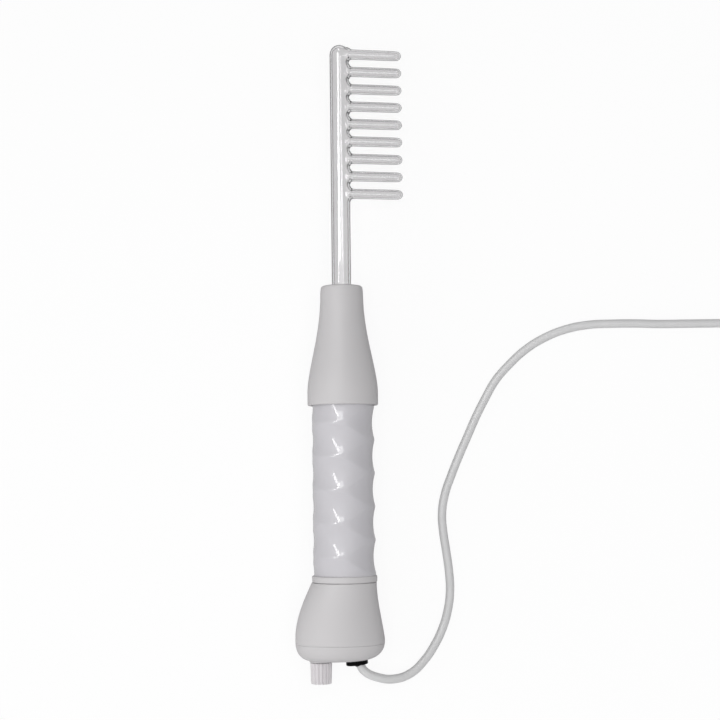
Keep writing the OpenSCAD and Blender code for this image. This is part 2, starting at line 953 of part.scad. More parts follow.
module hookup_wires() {
    color("firebrick")
        laid()
            for (side = [-1, 1]) {
                start = [relief_offset + side * relief_stem_r / 3, 0, relief_stem_to];
                goal = [terminal_x + terminal_l * (2 + side) / 4, terminal_y + terminal_w,
                    cap_floor + terminal_h / 2];
                tube([
                    start,
                    start + [0, 0, wire_bend / 2],
                    start + [0, -wire_bend, wire_bend],
                    goal + [0, wire_bend, wire_bend],
                    goal + [0, wire_bend / 2, 0],
                    goal
                ], wire_r, 6, [1, 0, 0]);
            }
}

// Strain relief in the end cap

relief_seat = 1.3;
relief_flange_t = 3.1;
relief_stem_r = 3.9;
relief_stem_to = cap_floor + 4;
relief_nut_t = 2.6;
// Way that the cord leaves, in the laid frame: aside, out of the foot and down
cord_way = unit([0.7, -0.7, -0.21]);
relief_start = [relief_offset, 0, 0.3];
relief_end_r = cord_d / 2 + 0.4;

module at_relief() {
    translate([relief_offset, 0, 0])
        children();
}

// A laid direction or point, turned to the upright drawing frame
function upright(v) = [v[0], -v[2], v[1]];
function laid_point(p) = [axis_x + p[0], axis_y + p[2], axis_z - p[1]];

module strain_relief() {
    way = upright(cord_way);
    color("black")
        laid()
            union() {
                at_relief() {
                    rotate([0, -relief_tilt, 0])
                        rod(relief_d / 2, relief_seat - relief_flange_t, relief_seat);
                    rod(relief_stem_r, 0, relief_stem_to);
                }
                translate(relief_start)
                    rotate([0, acos(way[2]), atan2(way[1], way[0])])
                        cylinder(r1 = relief_end_r + 0.8, r2 = relief_end_r, h = relief_neck);
            }
}

module relief_nut() {
    nut_r = relief_stem_r + 1.8;
    color("black")
        laid()
            at_relief()
                difference() {
                    translate([0, 0, cap_floor])
                        cylinder(r = nut_r, h = relief_nut_t, $fn = 6);
                    rod(relief_stem_r + seat, cap_floor - 1, cap_floor + relief_nut_t + 1);
                }
}

// Cord: a lead over the table, a stored coil and a tail to the plug

cord_r = cord_d / 2;
cord_exit = laid_point(relief_start + relief_neck * upright(cord_way));
tie_t = 0.8;
coil_low = tie_t + 0.3 + cord_r;
coil_step = cord_d + coil_gap;
lead_route = [
    [16, -183.5, 16.5], [25, -185, 13.5], [34, -182, 10.5], [41.5, -175.5, 7.5], [47.5, -167.5, 5],
    [52.5, -158, 3.2], [56, -147, 2.6], [57.5, -135.5, 2.5], [57, -124, 2.5], [55.5, -112, 2.5],
    [54, -101, 2.5], [53.5, -90.5, 2.5], [55.5, -79, 2.5], [59.5, -68, 2.5], [64.5, -56, 2.5],
    [69.5, -45, 2.5], [74.5, -34, 2.5], [80, -23.5, 2.5], [86.5, -12.5, 2.5], [94.5, -3.5, 2.5],
    [104.5, 5.5, 2.5], [116, 12.5, 2.5], [129, 17.5, 2.5], [142.5, 20, 2.5], [156, 20.5, 2.5],
    [170, 20.5, 2.5], [184, 20, 2.5], [198, 20, 2.5], [212, 20, 2.5], [226, 20, 2.8], [240, 20, 3.3]
];
lead_end = [258, 20, coil_low];
lead_path = concat(
    [cord_exit, cord_exit + cord_d * cord_way],
    lead_route,
    [lead_end - [cord_d, 0, 0], lead_end]
);

module cord_lead() {
    color("lightgray")
        tube(lead_path, cord_r, 10);
}

// The coil winds inwards on the lower layer and outwards on the upper one.
// Turns count from the middle of the half turn in which it climbs.
turns_in = 2.75;
turns_out = 2.5;
rings_per_turn = 24;
coil_entry_r = coil_inner_r + coil_step * turns_in;
coil_centre = [lead_end[0] + cord_d, lead_end[1] - coil_entry_r, coil_low];

function coil_point(t) =
    let (r = coil_inner_r + coil_step * abs(t), a = 90 - 360 * (t + turns_in),
        climb = min(1, max(0, 0.5 + 2 * t)))
        coil_centre + [r * cos(a), r * sin(a), coil_step * ease(climb)];

coil_turn_points = [
    for (i = [0 : (turns_in + turns_out) * rings_per_turn])
        coil_point(i / rings_per_turn - turns_in)
];
coil_exit = coil_point(turns_out) - [0, cord_d, 0];
coil_path = concat([lead_end], coil_turn_points, [coil_exit]);

// Least gap between turns of the coil, over points more than half a turn apart
coil_least_gap = min([
    for (i = [0 : len(coil_path) - 1], j = [i + rings_per_turn / 2 : 1 : len(coil_path) - 1])
        norm(coil_path[i] - coil_path[j])
]) - cord_d;

module cord_coil() {
    echo(coil_least_gap = coil_least_gap, coil_length = path_length(coil_path));
    color("lightgray")
        tube(coil_path, cord_r, 6);
}

plug_axis_z = plug_t / 2;
tail_run = [[0, -14, -1.6], [0, -25, -4.6], [0, -37, -6.3], [0, -49, -6.5]];
tail_rise = [[0, 38, -4.2], [0, 25, -2.8], [0, 13, -0.6]];
tail_end = [coil_exit[0], -119, plug_axis_z];
tail_path = concat(
    [coil_exit, coil_exit - [0, cord_d, 0]],
    [for (p = tail_run) coil_exit + p],
    [for (p = tail_rise) tail_end + p],
    [tail_end + [0, cord_d, 0], tail_end]
);

module cord_tail() {
    echo(cord_length = path_length(lead_path) + path_length(coil_path) + path_length(tail_path));
    color("lightgray")
        tube(tail_path, cord_r, 10);
}

// Rounded rectangle as a list of points
function rounded(low, high, r) = concat(
    arc([high[0] - r, high[1] - r], r, 0, 90, 5),
    arc([low[0] + r, high[1] - r], r, 90, 180, 5),
    arc([low[0] + r, low[1] + r], r, 180, 270, 5),
    arc([high[0] - r, low[1] + r], r, 270, 360, 5)
);

module cord_tie() {
    room = 0.3;
    reach_in = coil_inner_r + coil_step * 0.25 - cord_r - room - 0.6;
    reach_out = coil_inner_r + coil_step * 2.25 + cord_r + room;
    height = coil_low + coil_step + cord_r + room;
    hole = rounded([-reach_out, tie_t], [-reach_in, height], 2);
    band = rounded([-reach_out - tie_t, 0], [-reach_in + tie_t, height + tie_t], 2 + tie_t);
    color("dimgray")
        translate([coil_centre[0] - tie_w / 2, coil_centre[1], 0])
            rotate([90, 0, 90])
                linear_extrude(height = tie_w)
                    polygon(
                        points = concat(band, hole),
                        paths = [
                            [for (i = [0 : len(band) - 1]) i],
                            [for (i = [0 : len(hole) - 1]) len(band) + i]
                        ]
                    );
}

// Plug: a flat tapering body with two round pins, lying on the table

pin_r = pin_d / 2;
pin_root = 9;
pin_root_r = pin_r - 0.5;

module at_plug() {
    translate(tail_end)
        rotate([90, 0, 0])
            children();
}

module plug_body() {
    edge = 2.5;
    boot_len = 10;
    color("lightgray")
        at_plug()
            difference() {
                hull() {
                    plug_slab(plug_w, plug_t, edge, plug_len - 8, plug_len);
                    plug_slab(plug_w * 0.6, plug_t, edge, boot_len + 6, boot_len + 8);
                    rod(cord_r + 1.2, 0, boot_len);
                }
                at_pins() rod(pin_root_r + seat, plug_len - pin_root - seat, plug_len + 1);
            }
}

module plug_slab(w, t, edge, from, to) {
    for (x = [-1, 1], y = [-1, 1])
        translate([x * (w / 2 - edge), y * (t / 2 - edge), from])
            cylinder(r = edge, h = to - from, $fn = 32);
}

module at_pins() {
    for (side = [-1, 1])
        translate([side * pin_spacing / 2, 0, 0])
            children();
}

module plug_pins() {
    color("gold")
        at_plug()
            at_pins()
                rotate_extrude()
                    polygon(concat(
                        [[0, plug_len - pin_root], [pin_root_r, plug_len - pin_root], [pin_root_r, plug_len],
                            [pin_r, plug_len]],
                        arc([0, plug_len + pin_len - pin_r], pin_r, 0, 90, 6)
                    ));
}

electrode_glass();
electrode_ferrule();
lead_in_wire();
electrode_grip_ring();
nose_cone();
socket_tube();
socket_contact();
grip_sleeve();
resonator_former();
resonator_secondary();
resonator_primary();
base_collar();
base_housing();
base_end_cap();
cap_screws();
chassis_frame();
chassis_screws();
magnet_core();
core_nut();
magnet_bobbin();
magnet_winding();
reed_post();
post_screw();
vibrator_reed();
reed_armature();
reed_contact();
knob_bush();
bush_nut();
bush_set_screw();
intensity_knob();
adjusting_screw();
capacitor();
terminal_block();
terminal_screws();
hookup_wires();
strain_relief();
relief_nut();
cord_lead();
cord_coil();
cord_tail();
cord_tie();
plug_body();
plug_pins();
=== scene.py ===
"""Looks of a high-frequency wand with a glass comb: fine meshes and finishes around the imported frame."""

import functools
import json
import logging
import math
from collections.abc import Iterable, Sequence
from dataclasses import dataclass, field
from enum import Enum
from typing import Any

import bmesh
import bpy
from mathutils import Matrix, Vector


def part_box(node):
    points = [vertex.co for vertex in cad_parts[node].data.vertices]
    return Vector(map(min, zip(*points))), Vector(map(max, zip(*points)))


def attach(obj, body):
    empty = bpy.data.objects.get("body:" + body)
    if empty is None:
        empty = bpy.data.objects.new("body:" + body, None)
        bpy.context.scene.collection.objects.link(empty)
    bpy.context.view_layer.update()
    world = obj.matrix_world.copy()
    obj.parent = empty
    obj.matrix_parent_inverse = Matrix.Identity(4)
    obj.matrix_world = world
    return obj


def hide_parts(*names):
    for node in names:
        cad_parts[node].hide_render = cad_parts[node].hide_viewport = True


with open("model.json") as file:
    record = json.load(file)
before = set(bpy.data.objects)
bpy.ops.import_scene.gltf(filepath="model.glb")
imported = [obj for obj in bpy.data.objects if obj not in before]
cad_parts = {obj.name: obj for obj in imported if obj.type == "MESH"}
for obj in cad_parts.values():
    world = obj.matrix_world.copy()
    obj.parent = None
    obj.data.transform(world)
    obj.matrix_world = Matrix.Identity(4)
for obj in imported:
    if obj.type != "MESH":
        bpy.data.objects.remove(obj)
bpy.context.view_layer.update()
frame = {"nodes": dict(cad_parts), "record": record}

LOG = logging.getLogger("wand")
MM = 0.001
CREASE = 35.0
SOFT_CREASE = 40.0
ALL_SMOOTH = 180.0
WELD = 0.001 * MM
WAVE_PERIOD = math.tau / 20
WHITE = (1.0, 1.0, 1.0)

Colour = tuple[float, float, float]
Triple = tuple[float, float, float]
Outline = list[tuple[float, float]]


class Body(Enum):
    """Bodies of the frame that new pieces ride on."""

    WAND = "wand"
    ELECTRODE = "electrode"
    KNOB = "knob"


class Slot(Enum):
    """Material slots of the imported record."""

    CLEAR_GLASS = "clear_glass"
    SHELL_WHITE = "shell_white"
    GRIP_WHITE = "grip_white"
    BRIGHT_METAL = "bright_metal"
    STEEL = "steel"
    BRASS = "brass"
    WINDING = "winding"
    INSULATOR = "insulator"
    FIBRE_BOARD = "fibre_board"
    CAPACITOR_CASE = "capacitor_case"
    BLACK_RUBBER = "black_rubber"
    BLACK_PLASTIC = "black_plastic"
    RED_WIRE = "red_wire"
    CORD_GREY = "cord_grey"


class Ends(Enum):
    """What becomes of the two ends of a skin."""

    OPEN = "open"
    JOINED = "joined"
    CAPPED = "capped"


class Value:
    """A shader value: arithmetic on it adds Math nodes."""

    def __init__(self, board: "Board", socket: bpy.types.NodeSocket | None) -> None:
        """Keeps the socket and the board that it is on."""
        self.board = board
        self.socket = socket

    def _maths(self, operation: str, first: "Value | float", second: "Value | float") -> "Value":
        """Adds one Math node and returns its result."""
        return self.board.add("ShaderNodeMath", {"operation": operation}, {0: first, 1: second})

    def __add__(self, other: "Value | float") -> "Value":
        """Sum."""
        return self._maths("ADD", self, other)

    def __radd__(self, other: "Value | float") -> "Value":
        """Sum with a number in front."""
        return self._maths("ADD", other, self)

    def __sub__(self, other: "Value | float") -> "Value":
        """Difference."""
        return self._maths("SUBTRACT", self, other)

    def __rsub__(self, other: "Value | float") -> "Value":
        """Difference from a number in front."""
        return self._maths("SUBTRACT", other, self)

    def __mul__(self, other: "Value | float") -> "Value":
        """Product."""
        return self._maths("MULTIPLY", self, other)

    def __rmul__(self, other: "Value | float") -> "Value":
        """Product with a number in front."""
        return self._maths("MULTIPLY", other, self)


class Board:
    """The node tree of one material or world, and the one place that adds nodes."""

    def __init__(self, tree: bpy.types.NodeTree) -> None:
        """Clears the tree."""
        self.tree = tree
        tree.nodes.clear()

    def add(
        self,
        kind: str,
        settings: dict[str, Any] | None = None,
        inputs: dict[str | int, Any] | None = None,
        output: str | int = 0,
    ) -> Value:
        """Adds a node.

        Args:
            kind: the node's type.
            settings: properties, set before the sockets; "stops" sets a ramp's stops.
            inputs: values or links, by the socket's name or number.
            output: the socket to return.

        Returns:
            The chosen output.
        """
        node = self.tree.nodes.new(kind)
        for name, setting in (settings or {}).items():
            if name == "stops":
                self._set_stops(node.color_ramp, setting)
            else:
                setattr(node, name, setting)
        for name, given in (inputs or {}).items():
            socket = node.inputs[name]
            if isinstance(given, Value):
                self.tree.links.new(given.socket, socket)
            elif socket.type == "RGBA":
                socket.default_value = (*given, 1.0)
            else:
                socket.default_value = given
        return Value(self, node.outputs[output] if node.outputs else None)

    @staticmethod
    def _set_stops(ramp: bpy.types.ColorRamp, stops: Sequence[tuple[float, Colour]]) -> None:
        """Puts a ramp's stops in place.

        Args:
            ramp: the ramp.
            stops: position and colour of each stop.
        """
        while len(ramp.elements) < len(stops):
            ramp.elements.new(1.0)
        for element, (position, colour) in zip(ramp.elements, stops):
            element.position = position
            element.color = (*colour, 1.0)

    def place(self) -> Value:
        """Object coordinates."""
        return self.add("ShaderNodeTexCoord", output="Object")

    def noise(self, place: Value, size: float, detail: float = 2.0) -> Value:
        """Soft noise from 0 to 1, with features of one size in metres and some octaves of detail."""
        return self.add("ShaderNodeTexNoise", None, {"Vector": place, "Scale": 1 / size, "Detail": detail})

    def stretched(self, place: Value, scale: Triple) -> Value:
        """Coordinates stretched along the axes."""
        return self.add("ShaderNodeMapping", None, {"Vector": place, "Scale": scale})

    def mix(self, share: Value | float, first: Value | Colour, second: Value | Colour) -> Value:
        """Mixes two colours by the share of the second."""
        return self.add("ShaderNodeMix", {"data_type": "RGBA"}, {0: share, 6: first, 7: second}, 2)

    def bump(self, height: Value, depth: float) -> Value:
        """Normal of a surface with a fine relief, of a depth in metres."""
        return self.add("ShaderNodeBump", None, {"Height": height, "Distance": depth})

    def surface(self, inputs: dict[str | int, Any]) -> Value:
        """A Principled surface."""
        return self.add("ShaderNodeBsdfPrincipled", None, inputs)

    def close(self, shader: Value) -> None:
        """Links a shader to the material's output."""
        self.add("ShaderNodeOutputMaterial", None, {"Surface": shader})


@dataclass(frozen=True)
class MouldedPlastic:
    """Moulded plastic: faint clouds of colour, uneven gloss and a fine grain."""

    name: str
    colour: Colour
    shade: Colour
    roughness: float
    unevenness: float = 0.08
    cloud_size: float = 24 * MM
    grain_size: float = 0.6 * MM
    grain_depth: float = 0.01 * MM
    specular: float = 0.5
    coat: float = 0.0
    coat_roughness: float = 0.08
    coat_ior: float = 1.33

    def shader(self, board: Board) -> Value:
        """Adds the finish's nodes.

        Args:
            board: where they go.

        Returns:
            The shader.
        """
        place = board.place()
        clouds = board.noise(place, self.cloud_size, 3.0)
        specks = board.noise(place, self.grain_size, 1.0)
        return board.surface({
            "Base Color": board.mix(clouds, self.colour, self.shade),
            "Roughness": self.roughness + (clouds - 0.5) * self.unevenness,
            "Specular IOR Level": self.specular,
            "Coat Weight": self.coat,
            "Coat Roughness": self.coat_roughness,
            "Coat IOR": self.coat_ior,
            "Normal": board.bump(specks, self.grain_depth),
        })


@dataclass(frozen=True)
class ClearGlass:
    """Blown glass with faint smears on it, with painted shade: its colour darkens to near black where its
    wall is seen edge on.
    """

    name: str
    tint: Colour
    # Colour of the painted shade where the wall is seen edge on.
    rim: Colour
    ior: float
    smear: float
    smear_size: float = 9 * MM
    edge_shade_from: float = 0.34
    edge_shade_to: float = 0.72

    def shader(self, board: Board) -> Value:
        """Adds the finish's nodes.

        Args:
            board: where they go.

        Returns:
            The shader.
        """
        smears = board.noise(board.place(), self.smear_size, 3.0)
        # Painted shade: Base Color turns to the dark rim colour where the surface is seen edge on.
        facing = board.add("ShaderNodeLayerWeight", None, {"Blend": 0.5}, "Facing")
        edge_shade = board.add(
            "ShaderNodeMapRange",
            {"interpolation_type": "SMOOTHSTEP"},
            {"Value": facing, "From Min": self.edge_shade_from, "From Max": self.edge_shade_to},
        )
        return board.surface({
            "Base Color": board.mix(edge_shade, self.tint, self.rim),
            "Roughness": smears * self.smear,
            "IOR": self.ior,
            "Transmission Weight": 1.0,
        })


@dataclass(frozen=True)
class BareMetal:
    """Bare or plated metal with drawn streaks."""

    name: str
    colour: Colour
    shade: Colour
    roughness: float
    streak: float = 0.35
    streak_size: float = 0.4 * MM
    streak_depth: float = 0.004 * MM
    stretch: Triple = (1.0, 0.08, 1.0)

    def shader(self, board: Board) -> Value:
        """Adds the finish's nodes.

        Args:
            board: where they go.

        Returns:
            The shader.
        """
        streaks = board.noise(board.stretched(board.place(), self.stretch), self.streak_size)
        return board.surface({
            "Base Color": board.mix(streaks, self.colour, self.shade),
            "Metallic": 1.0,
            "Roughness": self.roughness + (streaks - 0.5) * self.streak * self.roughness,
            "Normal": board.bump(streaks, self.streak_depth),
        })


@dataclass(frozen=True)
class WoundWire:
    """Varnished wire, wound in even turns along the wand, with painted shade in the grooves between the
    turns.
    """

    name: str
    wire: Colour
    # Colour of the painted shade in the grooves between the turns.
    shaded_gap: Colour
    turn: float = 0.45 * MM
    turn_depth: float = 0.1 * MM
    waviness: float = 0.3
    roughness: float = 0.28
    unevenness: float = 0.2
    varnish_size: float = 5 * MM

    def shader(self, board: Board) -> Value:
        """Adds the finish's nodes.

        Args:
            board: where they go.

        Returns:
            The shader.
        """
        place = board.place()
        turns = board.add(
            "ShaderNodeTexWave",
            {"bands_direction": "Y"},
            {"Vector": place, "Scale": WAVE_PERIOD / self.turn, "Distortion": self.waviness},
            1,
        )
        varnish = board.noise(place, self.varnish_size)
        return board.surface({
            # Painted shade: the colour darkens to the gap colour in the grooves between the turns.
            "Base Color": board.mix(turns, self.shaded_gap, self.wire),
            "Roughness": self.roughness + varnish * self.unevenness,
            "Normal": board.bump(turns, self.turn_depth),
        })


@dataclass(frozen=True)
class PressedFibre:
    """Pressed board with a mottled, fibrous face."""

    name: str
    colour: Colour
    shade: Colour
    roughness: float = 0.55
    unevenness: float = 0.25
    fibre_size: float = 0.7 * MM
    fibre_depth: float = 0.05 * MM
    stretch: Triple = (0.3, 1.0, 1.0)

    def shader(self, board: Board) -> Value:
        """Adds the finish's nodes.

        Args:
            board: where they go.

        Returns:
            The shader.
        """
        fibres = board.noise(board.stretched(board.place(), self.stretch), self.fibre_size, 4.0)
        return board.surface({
            "Base Color": board.mix(fibres, self.colour, self.shade),
            "Roughness": self.roughness + fibres * self.unevenness,
            "Normal": board.bump(fibres, self.fibre_depth),
        })


Finish = MouldedPlastic | ClearGlass | BareMetal | WoundWire | PressedFibre

FINISHES: dict[Slot, Finish] = {
    # The glass's second colour, near black, is the painted shade on its edge-on walls.
    Slot.CLEAR_GLASS: ClearGlass("clear_glass", (0.8, 0.795, 0.8), (0.02, 0.02, 0.022), 1.47, 0.02),
    Slot.SHELL_WHITE: MouldedPlastic(
        "shell_white", (0.578, 0.565, 0.57), (0.558, 0.545, 0.55), 0.5, specular=0.25
    ),
    Slot.GRIP_WHITE: MouldedPlastic(
        "grip_white", (0.567, 0.555, 0.58), (0.547, 0.535, 0.56), 0.5,
        unevenness=0.05, grain_depth=0.002 * MM, coat=1.0,
    ),
    Slot.BRIGHT_METAL: BareMetal("bright_metal", (0.76, 0.75, 0.73), (0.66, 0.65, 0.63), 0.2),
    Slot.STEEL: BareMetal("steel", (0.52, 0.53, 0.55), (0.42, 0.43, 0.45), 0.34),
    Slot.BRASS: BareMetal("brass", (0.74, 0.55, 0.24), (0.6, 0.42, 0.17), 0.26),
    # The winding's second colour is the painted shade between its turns.
    Slot.WINDING: WoundWire("winding", (0.4, 0.17, 0.06), (0.09, 0.035, 0.015)),
    Slot.INSULATOR: MouldedPlastic("insulator", (0.76, 0.71, 0.58), (0.7, 0.64, 0.5), 0.48),
    Slot.FIBRE_BOARD: PressedFibre("fibre_board", (0.2, 0.1, 0.045), (0.11, 0.05, 0.025)),
    Slot.CAPACITOR_CASE: MouldedPlastic(
        "capacitor_case", (0.6, 0.33, 0.05), (0.5, 0.25, 0.035), 0.2, coat=0.4
    ),
    Slot.BLACK_RUBBER: MouldedPlastic("black_rubber", (0.02, 0.02, 0.021), (0.032, 0.032, 0.033), 0.6),
    Slot.BLACK_PLASTIC: MouldedPlastic(
        "black_plastic", (0.002, 0.002, 0.0022), (0.004, 0.004, 0.0042), 0.25, specular=0.05
    ),
    Slot.RED_WIRE: MouldedPlastic("red_wire", (0.42, 0.03, 0.025), (0.34, 0.025, 0.02), 0.4),
    Slot.CORD_GREY: MouldedPlastic(
        "cord_grey", (0.66, 0.66, 0.66), (0.6, 0.6, 0.6), 0.42, cloud_size=6 * MM, grain_depth=0.02 * MM
    ),
}
# Lighter copy of the shell's white plastic, with a clear coat. Its lightness is partly the knob's own paler
# plastic and partly painted light that makes up for the shade between its flutes.
LIT_KNOB_WHITE = MouldedPlastic(
    "lit_knob_white", (0.7, 0.675, 0.69), (0.68, 0.655, 0.67), 0.3, coat=1.0, coat_ior=1.5
)


@functools.cache
def material(finish: Finish) -> bpy.types.Material:
    """Makes the material of a finish, once.

    Args:
        finish: the finish.

    Returns:
        Its material.
    """
    made = bpy.data.materials.new(finish.name)
    made.use_nodes = True
    board = Board(made.node_tree)
    board.close(finish.shader(board))
    return made


@dataclass(frozen=True)
class WandFrame:
    """Where the wand lies: its axis and the foot of its base, in the row frame."""

    axis_x: float
    axis_z: float
    foot_y: float

    @classmethod
    def from_nodes(cls) -> "WandFrame":
        """Reads the axis from the nose and the foot from the end cap."""
        low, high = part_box("nose_cone")
        return cls((low.x + high.x) / 2, (low.z + high.z) / 2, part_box("base_end_cap")[0].y)

    @property
    def place(self) -> Matrix:
        """Lays a piece down that was made upright, with its stations along +Z."""
        foot = Matrix.Translation((self.axis_x, self.foot_y, self.axis_z))
        return foot @ Matrix.Rotation(-math.pi / 2, 4, "X")

    def span(self, node: str) -> tuple[float, float]:
        """First and last station of a node along the axis."""
        low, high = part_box(node)
        return low.y - self.foot_y, high.y - self.foot_y


def arc(centre: tuple[float, float], radius: float, start: float, end: float, steps: int) -> Outline:
    """Points on an arc between two angles in degrees, both ends included."""
    angles = [math.radians(start + (end - start) * i / steps) for i in range(steps + 1)]
    return [(centre[0] + radius * math.cos(a), centre[1] + radius * math.sin(a)) for a in angles]


def rod(radius: float, low: float, high: float) -> Outline:
    """Outline of a plain rod, from the axis out and back to it."""
    return [(0.0, low), (radius, low), (radius, high), (0.0, high)]


def rounded_oblong(
    station: float, half_width: float, half_depth: float, power: float, count: int = 64
) -> list[Vector]:
    """One ring across the upright axis, between an ellipse and a box.

    Args:
        station: where it lies.
        half_width: its half width.
        half_depth: its half depth.
        power: 2 for an ellipse, more for squarer corners.
        count: its points.

    Returns:
        The points.
    """
    def swelled(reach: float) -> float:
        """A cosine or sine, pushed out towards the corner."""
        return math.copysign(abs(reach) ** (2 / power), reach)

    points = []
    for k in range(count):
        angle = math.tau * k / count
        across, deep = swelled(math.cos(angle)), swelled(math.sin(angle))
        points.append(Vector((across * half_width, deep * half_depth, station)))
    return points


def ease(share: float) -> float:
    """Smooth rise from 0 to 1."""
    return (1 - math.cos(math.pi * share)) / 2


def soft_min(first: float, second: float, width: float) -> float:
    """Lower of two values, rounded where they meet."""
    meet = max(width - abs(first - second), 0.0) / width
    return min(first, second) - meet * meet * width / 4


def corners(faces: Iterable[bmesh.types.BMFace]) -> list[bmesh.types.BMVert]:
    """Vertices of some faces, each once."""
    return list({vert for face in faces for vert in face.verts})


def sharpen(bm: bmesh.types.BMesh, crease: float) -> None:
    """Keeps the edges sharp that turn by more than an angle in degrees."""
    for edge in bm.edges:
        edge.smooth = edge.calc_face_angle(0.0) < math.radians(crease)


def put_in_scene(name: str, data: bpy.types.ID) -> bpy.types.Object:
    """Makes an object of a mesh, curve, camera or lamp.

    Args:
        name: its name.
        data: what it shows.

    Returns:
        The object.
    """
    made = bpy.data.objects.new(name, data)
    bpy.context.scene.collection.objects.link(made)
    return made


class Workpiece:
    """One mesh in the making."""

    def __init__(self, name: str) -> None:
        """Starts an empty mesh."""
        self.name = name
        self.bm = bmesh.new()

    def since(self, before: set[bmesh.types.BMFace]) -> list[bmesh.types.BMFace]:
        """Faces that came after those in a set."""
        return [face for face in self.bm.faces if face not in before]

    def outward(self, faces: Iterable[bmesh.types.BMFace]) -> None:
        """Turns faces outward."""
        bmesh.ops.recalc_face_normals(self.bm, faces=list(faces))

    def lathe(
        self, outline: Outline, steps: int, closed: bool = False, matrix: Matrix | None = None
    ) -> None:
        """Spins an outline about the upright axis.

        Args:
            outline: radius and station of each point.
            steps: facets round the axis.
            closed: whether the last point joins the first.
            matrix: where the result goes.
        """
        before = set(self.bm.faces)
        points = [self.bm.verts.new((radius, 0.0, station)) for radius, station in outline]
        edges = [self.bm.edges.new(pair) for pair in zip(points, points[1:])]
        if closed:
            edges.append(self.bm.edges.new((points[-1], points[0])))
        bmesh.ops.spin(
            self.bm, geom=points + edges, cent=(0, 0, 0), axis=(0, 0, 1), angle=math.tau, steps=steps,
            use_merge=True,
        )
        bmesh.ops.remove_doubles(self.bm, verts=corners(self.since(before)), dist=WELD)
        made = self.since(before)
        self.outward(made)
        if matrix:
            bmesh.ops.transform(self.bm, matrix=matrix, verts=corners(made))

    def circle(self, count: int, matrix: Matrix, radius: float) -> tuple[list, list]:
        """Adds an open ring and returns its vertices and edges."""
        verts = bmesh.ops.create_circle(
            self.bm, cap_ends=False, segments=count, radius=radius, matrix=matrix)["verts"]
        return verts, list({e for v in verts for e in v.link_edges})

    def extend(self, edges: Iterable[bmesh.types.BMEdge]) -> tuple[dict, list]:
        """Extrudes a ring of edges in place.

        Args:
            edges: the ring.

        Returns:
            New vertex of each old one, and the new ring's edges.
        """
        old = {v for e in edges for v in e.verts}
        made = bmesh.ops.extrude_edge_only(self.bm, edges=list(edges))["geom"]
        fresh = {g for g in made if isinstance(g, bmesh.types.BMVert)}
        pairs = {}
        for vert in fresh:
            for edge in vert.link_edges:
                other = edge.other_vert(vert)
                if other in old:
                    pairs[other] = vert
        ring = [g for g in made if isinstance(g, bmesh.types.BMEdge) and set(g.verts) <= fresh]
        return pairs, ring

    def loft(self, rings: Sequence[Sequence[Vector]], ends: Ends = Ends.OPEN) -> None:
        """Draws a skin through rings of points.

        Args:
            rings: the rings, all with the same count of points.
            ends: what becomes of the first and the last ring.
        """
        before = set(self.bm.faces)
        verts, first = self.circle(len(rings[0]), Matrix.Identity(4), 1.0)
        for vert, point in zip(verts, rings[0]):
            vert.co = point
        last = first
        for ring in rings[1:]:
            pairs, last = self.extend(last)
            verts = [pairs[v] for v in verts]
            for vert, point in zip(verts, ring):
                vert.co = point
        if ends is Ends.JOINED:
            bmesh.ops.bridge_loops(self.bm, edges=first + last)
        elif ends is Ends.CAPPED:
            for edges, ring in ((first, rings[0]), (last, rings[-1])):
                self.cap(edges, sum(ring, Vector()) / len(ring))
        self.outward(self.since(before))

    def cap(self, ring: Iterable[bmesh.types.BMEdge], point: Vector) -> None:
        """Closes an open ring of edges with a fan about a point."""
        pairs, _ = self.extend(ring)
        bmesh.ops.pointmerge(self.bm, verts=list(pairs.values()), merge_co=point)

    def stand(self, place: Matrix, crease: float | None = None) -> bpy.types.Object:
        """Moves the mesh to its place and makes an object of it.

        Args:
            place: where it goes.
            crease: edges sharper than this, in degrees, stay sharp; without it every face stays flat.

        Returns:
            The object.
        """
        bmesh.ops.transform(self.bm, matrix=place, verts=self.bm.verts)
        if crease is not None:
            for face in self.bm.faces:
                face.smooth = True
            sharpen(self.bm, crease)
        mesh = bpy.data.meshes.new(self.name)
        self.bm.to_mesh(mesh)
        self.bm.free()
        return put_in_scene(self.name, mesh)

    def finish(
        self,
        place: Matrix,
        slot: Slot,
        nodes: Sequence[str],
        body: Body = Body.WAND,
        crease: float = CREASE,
        levels: int = 0,
        look: Finish | None = None,
    ) -> bpy.types.Object:
        """Makes the object, dresses it and sets it on its body.

        Args:
            place: where the piece goes.
            slot: its finish.
            nodes: solids that it stands for.
            body: what it rides on.
            crease: edges sharper than this, in degrees, stay sharp.
            levels: subdivision levels.
            look: finish of its own, in place of the slot's.

        Returns:
            The object.
        """
        made = self.stand(place, crease)
        made.data.materials.append(material(look or FINISHES[slot]))
        if levels:
            soften = made.modifiers.new("soften", "SUBSURF")
            soften.levels = soften.render_levels = levels
        seat(made, body, nodes)
        return made


def seat(made: bpy.types.Object, body: Body, nodes: Sequence[str]) -> None:
    """Sets a piece on its body.

    Args:
        made: the piece.
        body: what it rides on.
        nodes: solids that it stands for.
    """
    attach(made, body.value)
    if nodes:
        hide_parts(*nodes)
    LOG.info("%s rides on %s", made.name, body.value)


def carve(made: bpy.types.Object, cutters: Sequence[bpy.types.Object]) -> None:
    """Cuts shapes out of a piece and removes the cutters.

    Args:
        made: the piece.
        cutters: the shapes.
    """
    for cutter in cutters:
        cut = made.modifiers.new(cutter.name, "BOOLEAN")
        cut.operation = "DIFFERENCE"
        cut.solver = "EXACT"
        cut.object = cutter
    result = bpy.data.meshes.new_from_object(made.evaluated_get(bpy.context.evaluated_depsgraph_get()))
    made.modifiers.clear()
    made.data = result
    bm = bmesh.new()
    bm.from_mesh(result)
    sharpen(bm, CREASE)
    bm.to_mesh(result)
    bm.free()
    for cutter in cutters:
        bpy.data.objects.remove(cutter)


